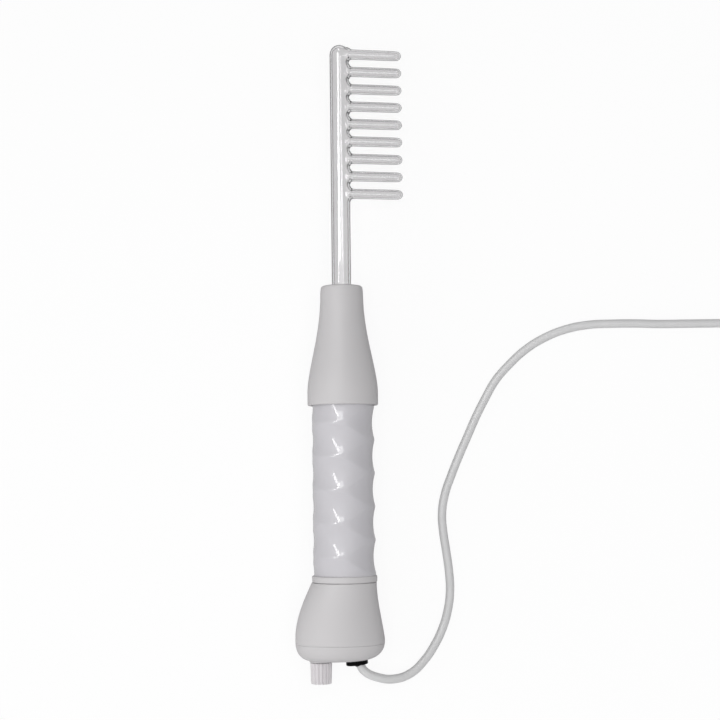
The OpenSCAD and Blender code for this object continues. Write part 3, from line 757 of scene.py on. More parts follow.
@dataclass
class GlassElectrode:
    """Hollow glass stem with a comb of closed tines."""

    wand: WandFrame
    stem_r: float = 5.6 * MM
    stem_wall: float = 1.1 * MM
    foot_r: float = 4.85 * MM
    foot_seal: float = 2.0 * MM
    shoulder: float = 20.0 * MM
    tine_r: float = 2.9 * MM
    tine_wall: float = 0.8 * MM
    tine_count: int = 9
    tine_pitch: float = 10.45 * MM
    tine_drop: float = 5.25 * MM
    tine_reach: float = 37.3 * MM
    tip_bulge: float = 1.02
    tip_leans: tuple[float, ...] = (0, 25, 50, 72)
    comb_turn: float = math.radians(10.0)
    root_gap: float = 0.3 * MM
    web: float = 1.8 * MM
    web_aside: float = 0.3
    web_rows: tuple[float, ...] = (0.0, 0.12, 0.35, 0.65, 1.0)
    shoulder_rise: float = 0.72
    sides: int = 24
    rows_per_pitch: int = 8
    patch_rows: int = 3
    plain_rows: int = 8
    dome_rows: int = 4
    skin_slack: float = 1.02
    patch_slack: float = 1.005

    def build(self) -> None:
        """Makes the outer and the inner skin of the glass."""
        foot, top = self.wand.span("electrode_glass")
        piece = Workpiece("glass_comb")
        self._skin(piece, foot, top, 0.0, 0.0)
        before = set(piece.bm.faces)
        self._skin(piece, foot + self.foot_seal, top - self.stem_wall, self.stem_wall, self.tine_wall)
        bmesh.ops.reverse_faces(piece.bm, faces=piece.since(before))
        turned = self.wand.place @ Matrix.Rotation(self.comb_turn, 4, "Z")
        piece.finish(
            turned, Slot.CLEAR_GLASS, ["electrode_glass"], Body.ELECTRODE, crease=ALL_SMOOTH, levels=1)

    def _swell(self) -> float:
        """Growth that makes up for what the subdivision takes off a ring."""
        return 1 / (2 / 3 + math.cos(math.tau / self.sides) / 3)

    def _skin(self, piece: Workpiece, foot: float, top: float, stem_wall: float, tine_wall: float) -> None:
        """Makes one closed skin.

        Args:
            piece: the workpiece.
            foot: station of its lower end.
            top: station of its upper end.
            stem_wall: how far it lies inside the stem's outside.
            tine_wall: how far it lies inside a tine's outside.
        """
        before = set(piece.bm.faces)
        radius = (self.stem_r - stem_wall) * self._swell()
        foot_r = (self.foot_r - stem_wall) * self._swell()
        dome = top - (self.stem_r - stem_wall)
        first = dome + self.stem_r - self.tine_drop
        step = self.tine_pitch / self.rows_per_pitch
        patch = self.patch_rows * step
        comb_from = first - (self.tine_count - 1) * self.tine_pitch - patch
        rows = (self.tine_count - 1) * self.rows_per_pitch + 2 * self.patch_rows
        stations = [comb_from + i * step for i in range(rows + 1)]
        widths = [math.sqrt(max(radius**2 - max(s - dome, 0.0) ** 2, 0.0)) for s in stations]
        shoulder = foot + self.shoulder
        neck = shoulder + 2 * (radius - foot_r)
        plain = [neck + (comb_from - neck) * i / self.plain_rows for i in range(self.plain_rows)]
        lean = math.degrees(math.asin((stations[-1] - dome) / radius))
        outline = [(0.0, foot), (foot_r, foot), (foot_r, shoulder)]
        outline += [(radius, s) for s in plain]
        outline += zip(widths, stations)
        outline += arc((0.0, dome), radius, lean, 90.0, self.dome_rows)[1:-1]
        outline.append((0.0, dome + radius))
        piece.lathe(outline, self.sides)
        for i in range(self.tine_count):
            station = first - i * self.tine_pitch
            self._tine(piece, station, patch, radius, self.tine_r - tine_wall, top)
        piece.outward(piece.since(before))

    def _tine(
        self, piece: Workpiece, station: float, patch: float, stem_r: float, tine_r: float, top: float
    ) -> None:
        """Opens the stem's side and draws a closed tine out of it.

        Args:
            piece: the workpiece.
            station: station of the tine's axis.
            patch: half height of the opening.
            stem_r: radius of the stem's skin.
            tine_r: radius of the tine's skin.
            top: station of the stem's top, which the tine stays below.
        """
        def near(point: Vector) -> bool:
            """Whether a point of the stem's skin lies in the opening.

            Args:
                point: the point.

            Returns:
                Whether it does.
            """
            on_skin = math.hypot(point.x, point.y) < stem_r * self.skin_slack
            in_rows = abs(point.z - station) < patch * self.patch_slack
            return on_skin and in_rows and abs(point.y) < point.x * self.skin_slack

        faces = [f for f in piece.bm.faces if near(f.calc_center_median())]
        bmesh.ops.delete(piece.bm, geom=faces, context="FACES")
        hole = [e for e in piece.bm.edges if e.is_boundary and all(near(v.co) for v in e.verts)]
        width = tine_r * self._swell()
        root = stem_r + self.root_gap
        tip = self.tine_reach - self.tine_r
        ceiling = top - stem_r * (1 - self.shoulder_rise)
        verts, ring = piece.circle(self.sides, Matrix.Rotation(math.pi / 2, 4, "Y"), width)
        turns = [math.atan2(v.co.y, v.co.z) for v in verts]
        rows = []
        for share in self.web_rows:
            grown = self.web * (1 - math.sqrt(1 - (1 - share) ** 2))
            rows.append((root + self.web * share, width + grown, width + grown * self.web_aside))
        rows.append(((root + tip) / 2, width, width))
        for lean in map(math.radians, self.tip_leans):
            rows.append((tip + width * math.sin(lean), width * math.cos(lean), width * math.cos(lean)))
        for along, tall, wide in rows:
            if along > root:
                pairs, ring = piece.extend(ring)
                verts = [pairs[v] for v in verts]
            for vert, turn in zip(verts, turns):
                vert.co = (along, wide * math.sin(turn), min(station + tall * math.cos(turn), ceiling))
            if along == root:
                bmesh.ops.bridge_loops(piece.bm, edges=hole + ring)
        piece.cap(ring, Vector((tip + width * self.tip_bulge, 0, station)))


@dataclass
class Nose:
    """Bottle-shaped nose that holds the electrode."""

    wand: WandFrame
    skirt_r: float = 20.5 * MM
    skirt_len: float = 8.0 * MM
    edge: float = 0.8 * MM
    neck_r: float = 12.5 * MM
    neck_len: float = 4.0 * MM
    flare: float = 0.8
    flare_rows: int = 48
    tip_taper: float = 0.3 * MM
    tip_round: float = 1.4 * MM
    mouth_r: float = 5.95 * MM
    mouth_round: float = 0.5 * MM
    mouth_wall: float = 2.8 * MM
    bore_r: float = 8.05 * MM
    throat: float = 18.0 * MM
    cavity_r: float = 14.5 * MM
    cavity_from: float = 12.0 * MM
    cavity_to: float = 23.5 * MM
    rebate_r: float = 18.35 * MM
    rebate_len: float = 4.4 * MM
    rebate_edge: float = 0.3 * MM
    steps: int = 128

    def build(self) -> None:
        """Spins the outside and the inside as one wall."""
        start, end = self.wand.span("nose_cone")
        curve_from, curve_to = start + self.skirt_len, end - self.neck_len
        outline = arc((self.skirt_r - self.edge, start + self.edge), self.edge, -90, 0, 6)
        for i in range(self.flare_rows + 1):
            share = i / self.flare_rows
            radius = self.skirt_r - (self.skirt_r - self.neck_r) * ease(share**self.flare)
            outline.append((radius, curve_from + (curve_to - curve_from) * share))
        tip_r = self.neck_r - self.tip_taper
        outline += arc((tip_r - self.tip_round, end - self.tip_round), self.tip_round, 0, 90, 8)
        lip = (self.mouth_r + self.mouth_round, end - self.mouth_round)
        outline += arc(lip, self.mouth_round, 90, 180, 4)
        ring_to = end - self.mouth_wall
        outline += [
            (self.mouth_r, ring_to), (self.bore_r, ring_to), (self.bore_r, ring_to - self.throat),
            (self.cavity_r, start + self.cavity_to), (self.cavity_r, start + self.cavity_from),
            (self.rebate_r, start + self.rebate_len), (self.rebate_r, start + self.rebate_edge),
            (self.rebate_r + self.rebate_edge, start),
        ]
        piece = Workpiece("nose_shell")
        piece.lathe(outline, self.steps, closed=True)
        piece.finish(self.wand.place, Slot.SHELL_WHITE, ["nose_cone"])


@dataclass
class Grip:
    """Grip sleeve with staggered columns of shallow finger grooves."""

    wand: WandFrame
    crest_r: float = 18.1 * MM
    bore_r: float = 14.3 * MM
    spigot_r: float = 15.6 * MM
    shown_len: float = 97.8 * MM
    covered_len: float = 4.4 * MM
    depth: float = 1.3 * MM
    bow_r: float = 33.0 * MM
    shift: float = 1.8 * MM
    pitch: float = 19.2 * MM
    columns: int = 3
    turn: float = math.radians(85.0)
    ridge_round: float = 0.15 * MM
    crease: float = 50.0
    steps: int = 200
    rows: int = 180

    def build(self) -> None:
        """Spins a plain sleeve and presses the grooves into its outside."""
        tail, end = self.wand.span("grip_sleeve")
        start = self.wand.span("base_collar")[1]
        shoulder = start + self.shown_len + self.covered_len
        outer = [(self.crest_r, start + (shoulder - start) * i / self.rows) for i in range(self.rows + 1)]
        outline = [(self.bore_r, tail), (self.spigot_r, tail), (self.spigot_r, start), *outer]
        outline += [(self.spigot_r, shoulder), (self.spigot_r, end), (self.bore_r, end)]
        piece = Workpiece("grooved_grip")
        piece.lathe(outline, self.steps, closed=True)
        middle = start + self.shown_len / 2
        outside = (self.spigot_r + self.crest_r) / 2
        for vert in piece.bm.verts:
            if math.hypot(vert.co.x, vert.co.y) > outside:
                angle = math.atan2(vert.co.x, -vert.co.y)
                radius = self._radius(angle, vert.co.z - middle)
                vert.co = (radius * math.sin(angle), -radius * math.cos(angle), vert.co.z)
        piece.finish(self.wand.place, Slot.GRIP_WHITE, ["grip_sleeve"], crease=self.crease)

    def _groove(self, aside: float, along: float) -> float:
        """Radius at which a groove meets a ray, given the ray's angle and distance from its middle."""
        reach = self.crest_r - self.depth + self.shift + self.bow_r - math.sqrt(self.bow_r**2 - along**2)
        return math.sqrt(reach**2 - (self.shift * math.sin(aside)) ** 2) - self.shift * math.cos(aside)

    def _radius(self, angle: float, along: float) -> float:
        """Radius of the grip.

        Args:
            angle: direction about the axis.
            along: distance from the middle of the shown length.

        Returns:
            The radius.
        """
        radius = self.crest_r
        for j in range(self.columns):
            mark = (j % 2) * self.pitch / 2
            away = along - mark - self.pitch * round((along - mark) / self.pitch)
            groove = self._groove(angle - self.turn + math.tau * j / self.columns, away)
            radius = soft_min(radius, groove, self.ridge_round)
        return radius


@dataclass
class Base:
    """Lopsided bulb of the base: collar, housing, end cap and the cap's screws."""

    wand: WandFrame
    length: float = 44.3 * MM
    wide_at: float = 12.0 * MM
    left: float = 28.7 * MM
    right: float = 22.75 * MM
    half_depth: float = 20.5 * MM
    top_r: float = 18.7 * MM
    top_shift: float = 0.3 * MM
    foot_left: float = 18.1 * MM
    foot_right: float = 6.3 * MM
    foot_half_depth: float = 9.0 * MM
    fullness: float = 2.5
    wall: float = 2.0 * MM
    floor: float = 3.2 * MM
    edge: float = 0.15 * MM
    edge_rise: float = 0.4
    edge_left: float = 0.3
    seam_fill: float = 0.15 * MM
    neck_bore_r: float = 15.7 * MM
    neck_bore_len: float = 5.8 * MM
    collar_r: float = 18.75 * MM
    collar_groove: float = 0.4 * MM
    collar_groove_depth: float = 1.3 * MM
    collar_edge: float = 0.2 * MM
    collar_round: float = 0.6 * MM
    screw_spots: tuple[tuple[float, float], ...] = ((-9.0 * MM, 11.5 * MM), (2.0 * MM, 12.0 * MM))
    screw_head_r: float = 2.4 * MM
    screw_head_t: float = 2.0 * MM
    screw_head_round: float = 0.5 * MM
    screw_r: float = 1.3 * MM
    recess: Triple = (3.0 * MM, 0.7 * MM, 1.6 * MM)
    pocket_r: float = 2.6 * MM
    pocket_to: float = 5.6 * MM
    boss_r: float = 3.3 * MM
    boss_bore_r: float = 1.4 * MM
    boss_from: float = 2.9 * MM
    boss_to: float = 9.4 * MM
    cut_below: float = 2.0 * MM
    sides: int = 128
    screw_sides: int = 40
    pocket_sides: int = 48
    outer_rows: int = 30
    foot_rows: int = 16
    inner_rows: int = 8

    def build(self, holes: Sequence[bpy.types.Object]) -> None:
        """Makes the collar, the housing, the cap and its screws.

        Args:
            holes: cutters for the pieces that sit in the cap.
        """
        self._collar()
        self._housing()
        self._cap(holes)
        for i, (x, y) in enumerate(self.screw_spots):
            spot = Matrix.Translation((x, y, 0))
            self._screw(i, spot)
            self._boss(i, spot)

    def _grown(self, station: float, foot: float, wide: float, top: float, share: float) -> float:
        """Reach of the bulb: a full quarter oval below its widest station, a given rise above it.

        Args:
            station: height above the foot.
            foot: reach at the foot.
            wide: reach at the widest station.
            top: reach at the collar.
            share: share of the growth above the widest station.

        Returns:
            The reach.
        """
        if station < self.wide_at:
            below = (self.wide_at - station) / self.wide_at
            return foot + (wide - foot) * max(0.0, 1 - below**self.fullness) ** (1 / self.fullness)
        return top + (wide - top) * share

    def _ring(self, station: float, inset: float) -> list[Vector]:
        """One oval of the bulb.

        Args:
            station: height above the foot.
            inset: how far it lies inside the outside.

        Returns:
            Its points.
        """
        above = (self.length - station) / (self.length - self.wide_at)
        flared = above**2 * (2 - above)
        bowed = math.sin(math.pi / 2 * above)
        left = self._grown(station, self.foot_left, self.left, self.top_r + self.top_shift, bowed) - inset
        right = self._grown(station, self.foot_right, self.right, self.top_r - self.top_shift, flared) - inset
        depth = self._grown(station, self.foot_half_depth, self.half_depth, self.top_r, flared) - inset
        return self._oval((right - left) / 2, (right + left) / 2, depth, station)

    def _oval(self, middle: float, half_width: float, depth: float, station: float) -> list[Vector]:
        """Points of an oval across the axis."""
        angles = [math.tau * k / self.sides for k in range(self.sides)]
        return [Vector((middle + half_width * math.cos(a), -depth * math.sin(a), station)) for a in angles]

    def _rim(self, station: float, way: int) -> list[list[Vector]]:
        """Two ovals that round off an edge at a station; the piece lies above it (1) or below it (-1)."""
        past = station + way * self.edge * self.edge_rise
        return [self._ring(station, self.edge), self._ring(past, self.edge * self.edge_left)]

    def _lining(self, start: float, end: float) -> list[list[Vector]]:
        """Ovals of the inside, from one station to another."""
        rows = range(self.inner_rows + 1)
        return [self._ring(start + (end - start) * i / self.inner_rows, self.wall) for i in rows]

    def _housing(self) -> None:
        """Housing from the seam to the groove under the collar, with its cavity."""
        start, end = self.wand.span("base_housing")
        ledge = end - self.neck_bore_len
        height = end - start - 2 * self.edge
        rings = self._rim(start, 1)
        for i in range(self.outer_rows + 1):
            rings.append(self._ring(start + self.edge + height * i / self.outer_rows, 0.0))
        rings += self._rim(end, -1)[::-1]
        rings += [self._oval(0.0, self.neck_bore_r, self.neck_bore_r, s) for s in (end, ledge)]
        rings += self._lining(ledge, start)
        piece = Workpiece("base_shell")
        piece.loft(rings, Ends.JOINED)
        piece.finish(self.wand.place, Slot.SHELL_WHITE, ["base_housing"])

    def _cap(self, holes: Sequence[bpy.types.Object]) -> None:
        """End cap: a dish with a flat foot, bored for the pieces that sit in it.

        Args:
            holes: the cutters.
        """
        seam = self.wand.span("base_end_cap")[1] + self.seam_fill
        rings = []
        for i in range(self.foot_rows + 1):
            rise = 1 - math.cos(math.pi / 2 * i / self.foot_rows)
            rings.append(self._ring((seam - self.edge) * rise, 0.0))
        rings += self._rim(seam, -1)[::-1]
        rings += self._lining(seam, self.floor)
        piece = Workpiece("base_cap")
        piece.loft(rings, Ends.CAPPED)
        made = piece.finish(self.wand.place, Slot.SHELL_WHITE, ["base_end_cap"])
        carve(made, [*holes, *self._pockets()])

    def _pockets(self) -> list[bpy.types.Object]:
        """Makes cutters for the screws' pockets.

        Returns:
            The cutters.
        """
        made = []
        for i, (x, y) in enumerate(self.screw_spots):
            cutter = Workpiece(f"pocket_{i}")
            outline = rod(self.pocket_r, -self.cut_below, self.pocket_to)
            cutter.lathe(outline, self.pocket_sides, matrix=Matrix.Translation((x, y, 0)))
            made.append(cutter.stand(self.wand.place))
        return made

    def _screw(self, number: int, spot: Matrix) -> None:
        """Pan-head screw with a cross recess.

        Args:
            number: which screw it is; the first stands for all of them.
            spot: where its axis is.
        """
        low, high = self.wand.span("cap_screws")
        head_to = low + self.screw_head_t
        outline = [(0.0, high), (self.screw_r, high), (self.screw_r, head_to), (self.screw_head_r, head_to)]
        crown = (self.screw_head_r - self.screw_head_round, low + self.screw_head_round)
        outline += arc(crown, self.screw_head_round, 0, -90, 4)
        outline.append((0.0, low))
        piece = Workpiece(f"cap_screw_{number}")
        piece.lathe(outline, self.screw_sides, matrix=spot)
        made = piece.finish(self.wand.place, Slot.STEEL, [] if number else ["cap_screws"])
        carve(made, [self._blade(spot, low, turn) for turn in (0.0, math.pi / 2)])

    def _blade(self, spot: Matrix, low: float, turn: float) -> bpy.types.Object:
        """Makes the cutter for one bar of the cross recess.

        Args:
            spot: where the screw's axis is.
            low: station of its head.
            turn: the bar's direction about the axis.

        Returns:
            The cutter.
        """
        cutter = Workpiece("blade")
        where = spot @ Matrix.Translation((0, 0, low)) @ Matrix.Rotation(turn, 4, "Z")
        bmesh.ops.create_cube(cutter.bm, size=1.0, matrix=where @ Matrix.Diagonal((*self.recess, 1.0)))
        return cutter.stand(self.wand.place)

    def _boss(self, number: int, spot: Matrix) -> None:
        """Boss that a screw sits in.

        Args:
            number: which screw it is.
            spot: where its axis is.
        """
        piece = Workpiece(f"cap_boss_{number}")
        outline = [
            (self.pocket_r, self.boss_from), (self.boss_r, self.boss_from), (self.boss_r, self.boss_to),
            (self.boss_bore_r, self.boss_to), (self.boss_bore_r, self.pocket_to),
            (self.pocket_r, self.pocket_to),
        ]
        piece.lathe(outline, self.screw_sides, closed=True, matrix=spot)
        piece.finish(self.wand.place, Slot.SHELL_WHITE, [])

    def _collar(self) -> None:
        """Collar with a rounded upper edge, over a dark groove."""
        low, high = self.wand.span("base_collar")
        groove_r = self.collar_r - self.collar_groove_depth
        groove_to = low + self.collar_groove
        lower = (self.collar_r - self.collar_edge, groove_to + self.collar_edge)
        upper = (self.collar_r - self.collar_round, high - self.collar_round)
        outline = [(self.neck_bore_r, low), (groove_r, low), (groove_r, groove_to)]
        outline += arc(lower, self.collar_edge, -90, 0, 3) + arc(upper, self.collar_round, 0, 90, 6)
        outline.append((self.neck_bore_r, high))
        piece = Workpiece("collar_ring")
        piece.lathe(outline, self.sides, closed=True)
        piece.finish(self.wand.place, Slot.SHELL_WHITE, ["base_collar"])


@dataclass
class Knob:
    """Fluted intensity knob and the bush that it turns in."""

    wand: WandFrame
    offset: float = -14.0 * MM
    root: float = -1.2 * MM
    root_r: float = 6.25 * MM
    root_lip: float = 0.07 * MM
    root_lip_len: float = 0.0525 * MM
    root_lip_flutes: float = 0.8
    end_r: float = 5.9 * MM
    edge: float = 0.35 * MM
    edge_leans: tuple[float, ...] = (30, 60, 90)
    flutes: int = 16
    flute_depth: float = 1.1 * MM
    flute_power: float = 0.8
    ridge_share: float = 0.05
    points_per_flute: int = 10
    taper_rows: int = 6
    dish_rim: float = 1.4 * MM
    dish_wall: float = 0.4 * MM
    dish_drop: float = 0.25 * MM
    dish_depth: float = 0.3 * MM
    dish_middle_r: float = 1.5 * MM
    shaft_r: float = 3.0 * MM
    shaft_sink: float = 0.5 * MM
    flange_r: float = 6.75 * MM
    flange_round: float = 0.35 * MM
    bush_r: float = 4.6 * MM
    bush_seat: float = 1.6 * MM
    guide_r: float = 2.05 * MM
    guide_len: float = 2.9 * MM
    run: float = 0.05 * MM
    cut_from: float = -3.0 * MM
    cut_to: float = 5.0 * MM
    bush_sides: int = 96
    shaft_sides: int = 48

    @property
    def spot(self) -> Matrix:
        """Where the knob's axis is."""
        return self.wand.place @ Matrix.Translation((self.offset, 0, 0))

    def hole(self) -> bpy.types.Object:
        """Makes the cutter for the bush's seat in the end cap.

        Returns:
            The cutter.
        """
        cutter = Workpiece("bush_hole")
        flange_r, bush_r = self.flange_r + self.run, self.bush_r + self.run
        cutter.lathe([
            (0, self.cut_from), (flange_r, self.cut_from), (flange_r, self.bush_seat),
            (bush_r, self.bush_seat), (bush_r, self.cut_to), (0, self.cut_to),
        ], self.bush_sides)
        return cutter.stand(self.spot)

    def build(self) -> None:
        """Makes the bush and the knob."""
        self._bush()
        self._knob()

    def _bush(self) -> None:
        """Flanged bush with a rounded rim."""
        low, high = self.wand.span("knob_bush")
        bore = self.shaft_r + self.run
        guide_from = high - self.guide_len
        rim = (self.flange_r - self.flange_round, low + self.flange_round)
        piece = Workpiece("bush_flange")
        piece.lathe([
            (bore, low), *arc(rim, self.flange_round, -90, 0, 6), (self.flange_r, self.bush_seat),
            (self.bush_r, self.bush_seat), (self.bush_r, high), (self.guide_r, high),
            (self.guide_r, guide_from), (bore, guide_from),
        ], self.bush_sides, closed=True)
        piece.finish(self.spot, Slot.SHELL_WHITE, ["knob_bush"])

    def _knob(self) -> None:
        """Fluted knob with a dished end and its shaft."""
        low, shaft_to = self.wand.span("intensity_knob")
        rows = [
            (self.root, self.root_r - self.root_lip, self.root_lip_flutes),
            (self.root - self.root_lip_len, self.root_r, 1.0),
        ]
        for i in range(1, self.taper_rows + 1):
            share = i / self.taper_rows
            station = self.root + (low + self.edge - self.root) * share
            rows.append((station, self.root_r + (self.end_r - self.root_r) * share, 1.0))
        for lean in map(math.radians, self.edge_leans):
            station = low + self.edge * (1 - math.sin(lean))
            rows.append((station, self.end_r - self.edge * (1 - math.cos(lean)), math.cos(lean)))
        dish_r = self.end_r - self.dish_rim
        rows += [
            (low, dish_r, 0.0), (low + self.dish_drop, dish_r - self.dish_wall, 0.0),
            (low + self.dish_depth, self.dish_middle_r, 0.0),
        ]
        piece = Workpiece("fluted_knob")
        piece.loft([self._fluted(*row) for row in rows], Ends.CAPPED)
        piece.lathe(rod(self.shaft_r, self.root - self.shaft_sink, shaft_to), self.shaft_sides)
        # The knob takes the lighter copy of the shell's white, partly painted light against the shade in its
        # flutes.
        piece.finish(
            self.spot, Slot.SHELL_WHITE, ["intensity_knob"], Body.KNOB, crease=SOFT_CREASE, look=LIT_KNOB_WHITE)

    def _fluted(self, station: float, radius: float, share: float) -> list[Vector]:
        """One fluted ring.

        Args:
            station: where it lies.
            radius: radius over its ridges.
            share: share of the flutes' depth.

        Returns:
            Its points.
        """
        points = []
        count = self.flutes * self.points_per_flute
        for k in range(count):
            angle = math.tau * k / count
            hollow = max(0.0, -math.cos(self.flutes * angle) - self.ridge_share) / (1 - self.ridge_share)
            reach = radius - self.flute_depth * share * hollow**self.flute_power
            points.append(Vector((reach * math.cos(angle), reach * math.sin(angle), station)))
        return points


@dataclass
class StrainRelief:
    """Black disc in the end cap, with a short neck that the cord comes out of."""

    wand: WandFrame
    cord_r: float
    offset: float = 6.4 * MM
    disc_r: float = 6.3 * MM
    disc_t: float = 3.9 * MM
    disc_round: float = 0.6 * MM
    disc_seat: float = 1.3 * MM
    disc_tilt: float = math.radians(6.0)
    stem_r: float = 3.9 * MM
    leave: Triple = (0.52, -0.82, -0.22)
    neck_from: float = 0.3 * MM
    neck_len: float = 3.2 * MM
    neck_wall: float = 0.2 * MM
    neck_flare: float = 0.8 * MM
    neck_swell: float = 0.1 * MM
    neck_round: float = 0.4 * MM
    neck_lap: float = 0.1 * MM
    neck_sink: float = 0.5 * MM
    run: float = 0.05 * MM
    cut_from: float = -4.0 * MM
    disc_sides: int = 96
    neck_sides: int = 48

    @property
    def way(self) -> Vector:
        """Way that the cord leaves by."""
        return Vector(self.leave).normalized()

    @property
    def root(self) -> Vector:
        """Root of the neck, on the upright wand."""
        return Vector((self.offset, 0, self.neck_from))

    @property
    def exit(self) -> Vector:
        """Point at which the cord leaves the neck."""
        return self.wand.place @ self.root + self.way * self.neck_len

    @property
    def spot(self) -> Matrix:
        """Where the disc's seat is."""
        return Matrix.Translation((self.offset, 0, 0))

    @property
    def tilted(self) -> Matrix:
        """Where the disc's axis is."""
        return self.spot @ Matrix.Rotation(-self.disc_tilt, 4, "Y")

    def hole(self) -> bpy.types.Object:
        """Makes the cutter for the disc's seat in the end cap.

        Returns:
            The cutter.
        """
        cutter = Workpiece("relief_hole")
        outline = rod(self.disc_r + self.run, self.cut_from, self.disc_seat)
        cutter.lathe(outline, self.disc_sides, matrix=self.tilted)
        return cutter.stand(self.wand.place)

    def build(self) -> None:
        """Makes the disc, its stem and the neck in one piece."""
        piece = Workpiece("relief_disc")
        low = self.disc_seat - self.disc_t
        rim = arc((self.disc_r - self.disc_round, low + self.disc_round), self.disc_round, -90, 0, 6)
        disc = [(0, low), *rim, (self.disc_r, self.disc_seat), (0, self.disc_seat)]
        piece.lathe(disc, self.disc_sides, matrix=self.tilted)
        stem_to = self.wand.span("strain_relief")[1]
        piece.lathe(rod(self.stem_r, 0.0, stem_to), self.neck_sides, matrix=self.spot)
        neck_r = self.cord_r + self.neck_wall
        neck = [
            (0, 0), (neck_r + self.neck_flare, 0),
            (neck_r + self.neck_swell, self.neck_len - self.neck_round),
            (self.cord_r, self.neck_len), (self.cord_r - self.neck_lap, self.neck_len),
            (0, self.neck_len - self.neck_sink),
        ]
        aim = self.wand.place.to_3x3().inverted() @ self.way
        turn = Vector((0, 0, 1)).rotation_difference(aim).to_matrix().to_4x4()
        piece.lathe(neck, self.neck_sides, matrix=Matrix.Translation(self.root) @ turn)
        piece.finish(self.wand.place, Slot.BLACK_PLASTIC, ["strain_relief"])


@dataclass
class Plug:
    """Flat tapering two-pin plug with a ribbed boot."""

    width: float = 35.0 * MM
    thickness: float = 13.6 * MM
    length: float = 36.0 * MM
    boot_len: float = 10.0 * MM
    boot_r: float = 3.0 * MM
    rib_count: int = 5
    rib_from: float = 0.3 * MM
    rib_pitch: float = 2.0 * MM
    rib_w: float = 1.0 * MM
    rib_slope: float = 0.15 * MM
    rib_depth: float = 0.6 * MM
    rib_r: float = 3.55 * MM
    rib_growth: float = 0.06 * MM
    neck_r: float = 4.0 * MM
    flank: float = 5.0 * MM
    widening: float = 1.1
    thickening: float = 1.5
    round_power: float = 2.0
    face_power: float = 4.0
    square_power: float = 5.0
    end_round: float = 1.0 * MM
    end_bevel: float = 0.3 * MM
    face_share: float = 0.5
    body_rows: int = 12
    sleeve_len: float = 9.0 * MM
    sleeve_depth: float = 0.5 * MM
    pin_sides: int = 40

    def build(self, end: Vector) -> list[bpy.types.Object]:
        """Makes the plug and its pins.

        Args:
            end: where the cord enters it.

        Returns:
            The pieces.
        """
        piece = Workpiece("plug_shell")
        rings = [rounded_oblong(*row) for row in self._boot() + self._body()]
        piece.loft(rings, Ends.CAPPED)
        place = Matrix.Translation(end) @ Matrix.Rotation(math.pi / 2, 4, "X")
        shell = piece.finish(place, Slot.CORD_GREY, ["plug_body"], crease=SOFT_CREASE)
        return [shell, self._pins()]

    def _boot(self) -> list[tuple[float, float, float, float]]:
        """Works out the ribbed boot.

        Returns:
            Station, half width, half thickness and power of each ring.
        """
        rows = [(0.0, self.boot_r)]
        for i in range(self.rib_count):
            start = self.rib_from + i * self.rib_pitch
            crest = self.rib_r + i * self.rib_growth
            gap_from = start + self.rib_w + self.rib_slope
            gap_to = start + self.rib_pitch - self.rib_slope
            rows += [(start, crest), (start + self.rib_w, crest)]
            rows += [(gap_from, crest - self.rib_depth), (gap_to, crest - self.rib_depth)]
        return [(station, radius, radius, self.round_power) for station, radius in rows]

    def _body(self) -> list[tuple[float, float, float, float]]:
        """Works out the tapering body and its flat end.

        Returns:
            Station, half width, half thickness and power of each ring.
        """
        half_w, half_t = self.width / 2, self.thickness / 2
        rows = []
        for i in range(self.body_rows + 1):
            share = i / self.body_rows
            wide = math.sin(math.pi / 2 * share) ** self.widening
            thick = math.sin(math.pi / 2 * min(1.0, share * self.thickening))
            rows.append((
                self.boot_len + (self.length - self.boot_len - self.flank) * share,
                self.neck_r + (half_w - self.neck_r) * wide,
                self.neck_r + (half_t - self.neck_r) * thick,
                self.round_power + (self.square_power - self.round_power) * ease(share),
            ))
        for back, inset in ((self.end_round, 0.0), (self.end_bevel, self.end_bevel), (0.0, self.end_round)):
            rows.append((self.length - back, half_w - inset, half_t - inset, self.square_power))
        rows.append((self.length, half_w * self.face_share, half_t * self.face_share, self.face_power))
        return rows

    def _pins(self) -> bpy.types.Object:
        """Makes the round pins with domed tips and sleeved roots.

        Returns:
            The pins, as one piece.
        """
        low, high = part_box("plug_pins")
        radius = (high.z - low.z) / 2
        sleeve_r = radius - self.sleeve_depth
        outline = [(0.0, 0.0), (sleeve_r, 0.0), (sleeve_r, self.sleeve_len), (radius, self.sleeve_len)]
        outline += arc((0.0, high.y - low.y - radius), radius, 0, 90, 8)
        piece = Workpiece("plug_pin_pair")
        for x in (low.x + radius, high.x - radius):
            place = Matrix.Translation((x, high.y, low.z + radius)) @ Matrix.Rotation(math.pi / 2, 4, "X")
            piece.lathe(outline, self.pin_sides, matrix=place)
        return piece.finish(Matrix.Identity(4), Slot.BRIGHT_METAL, ["plug_pins"])


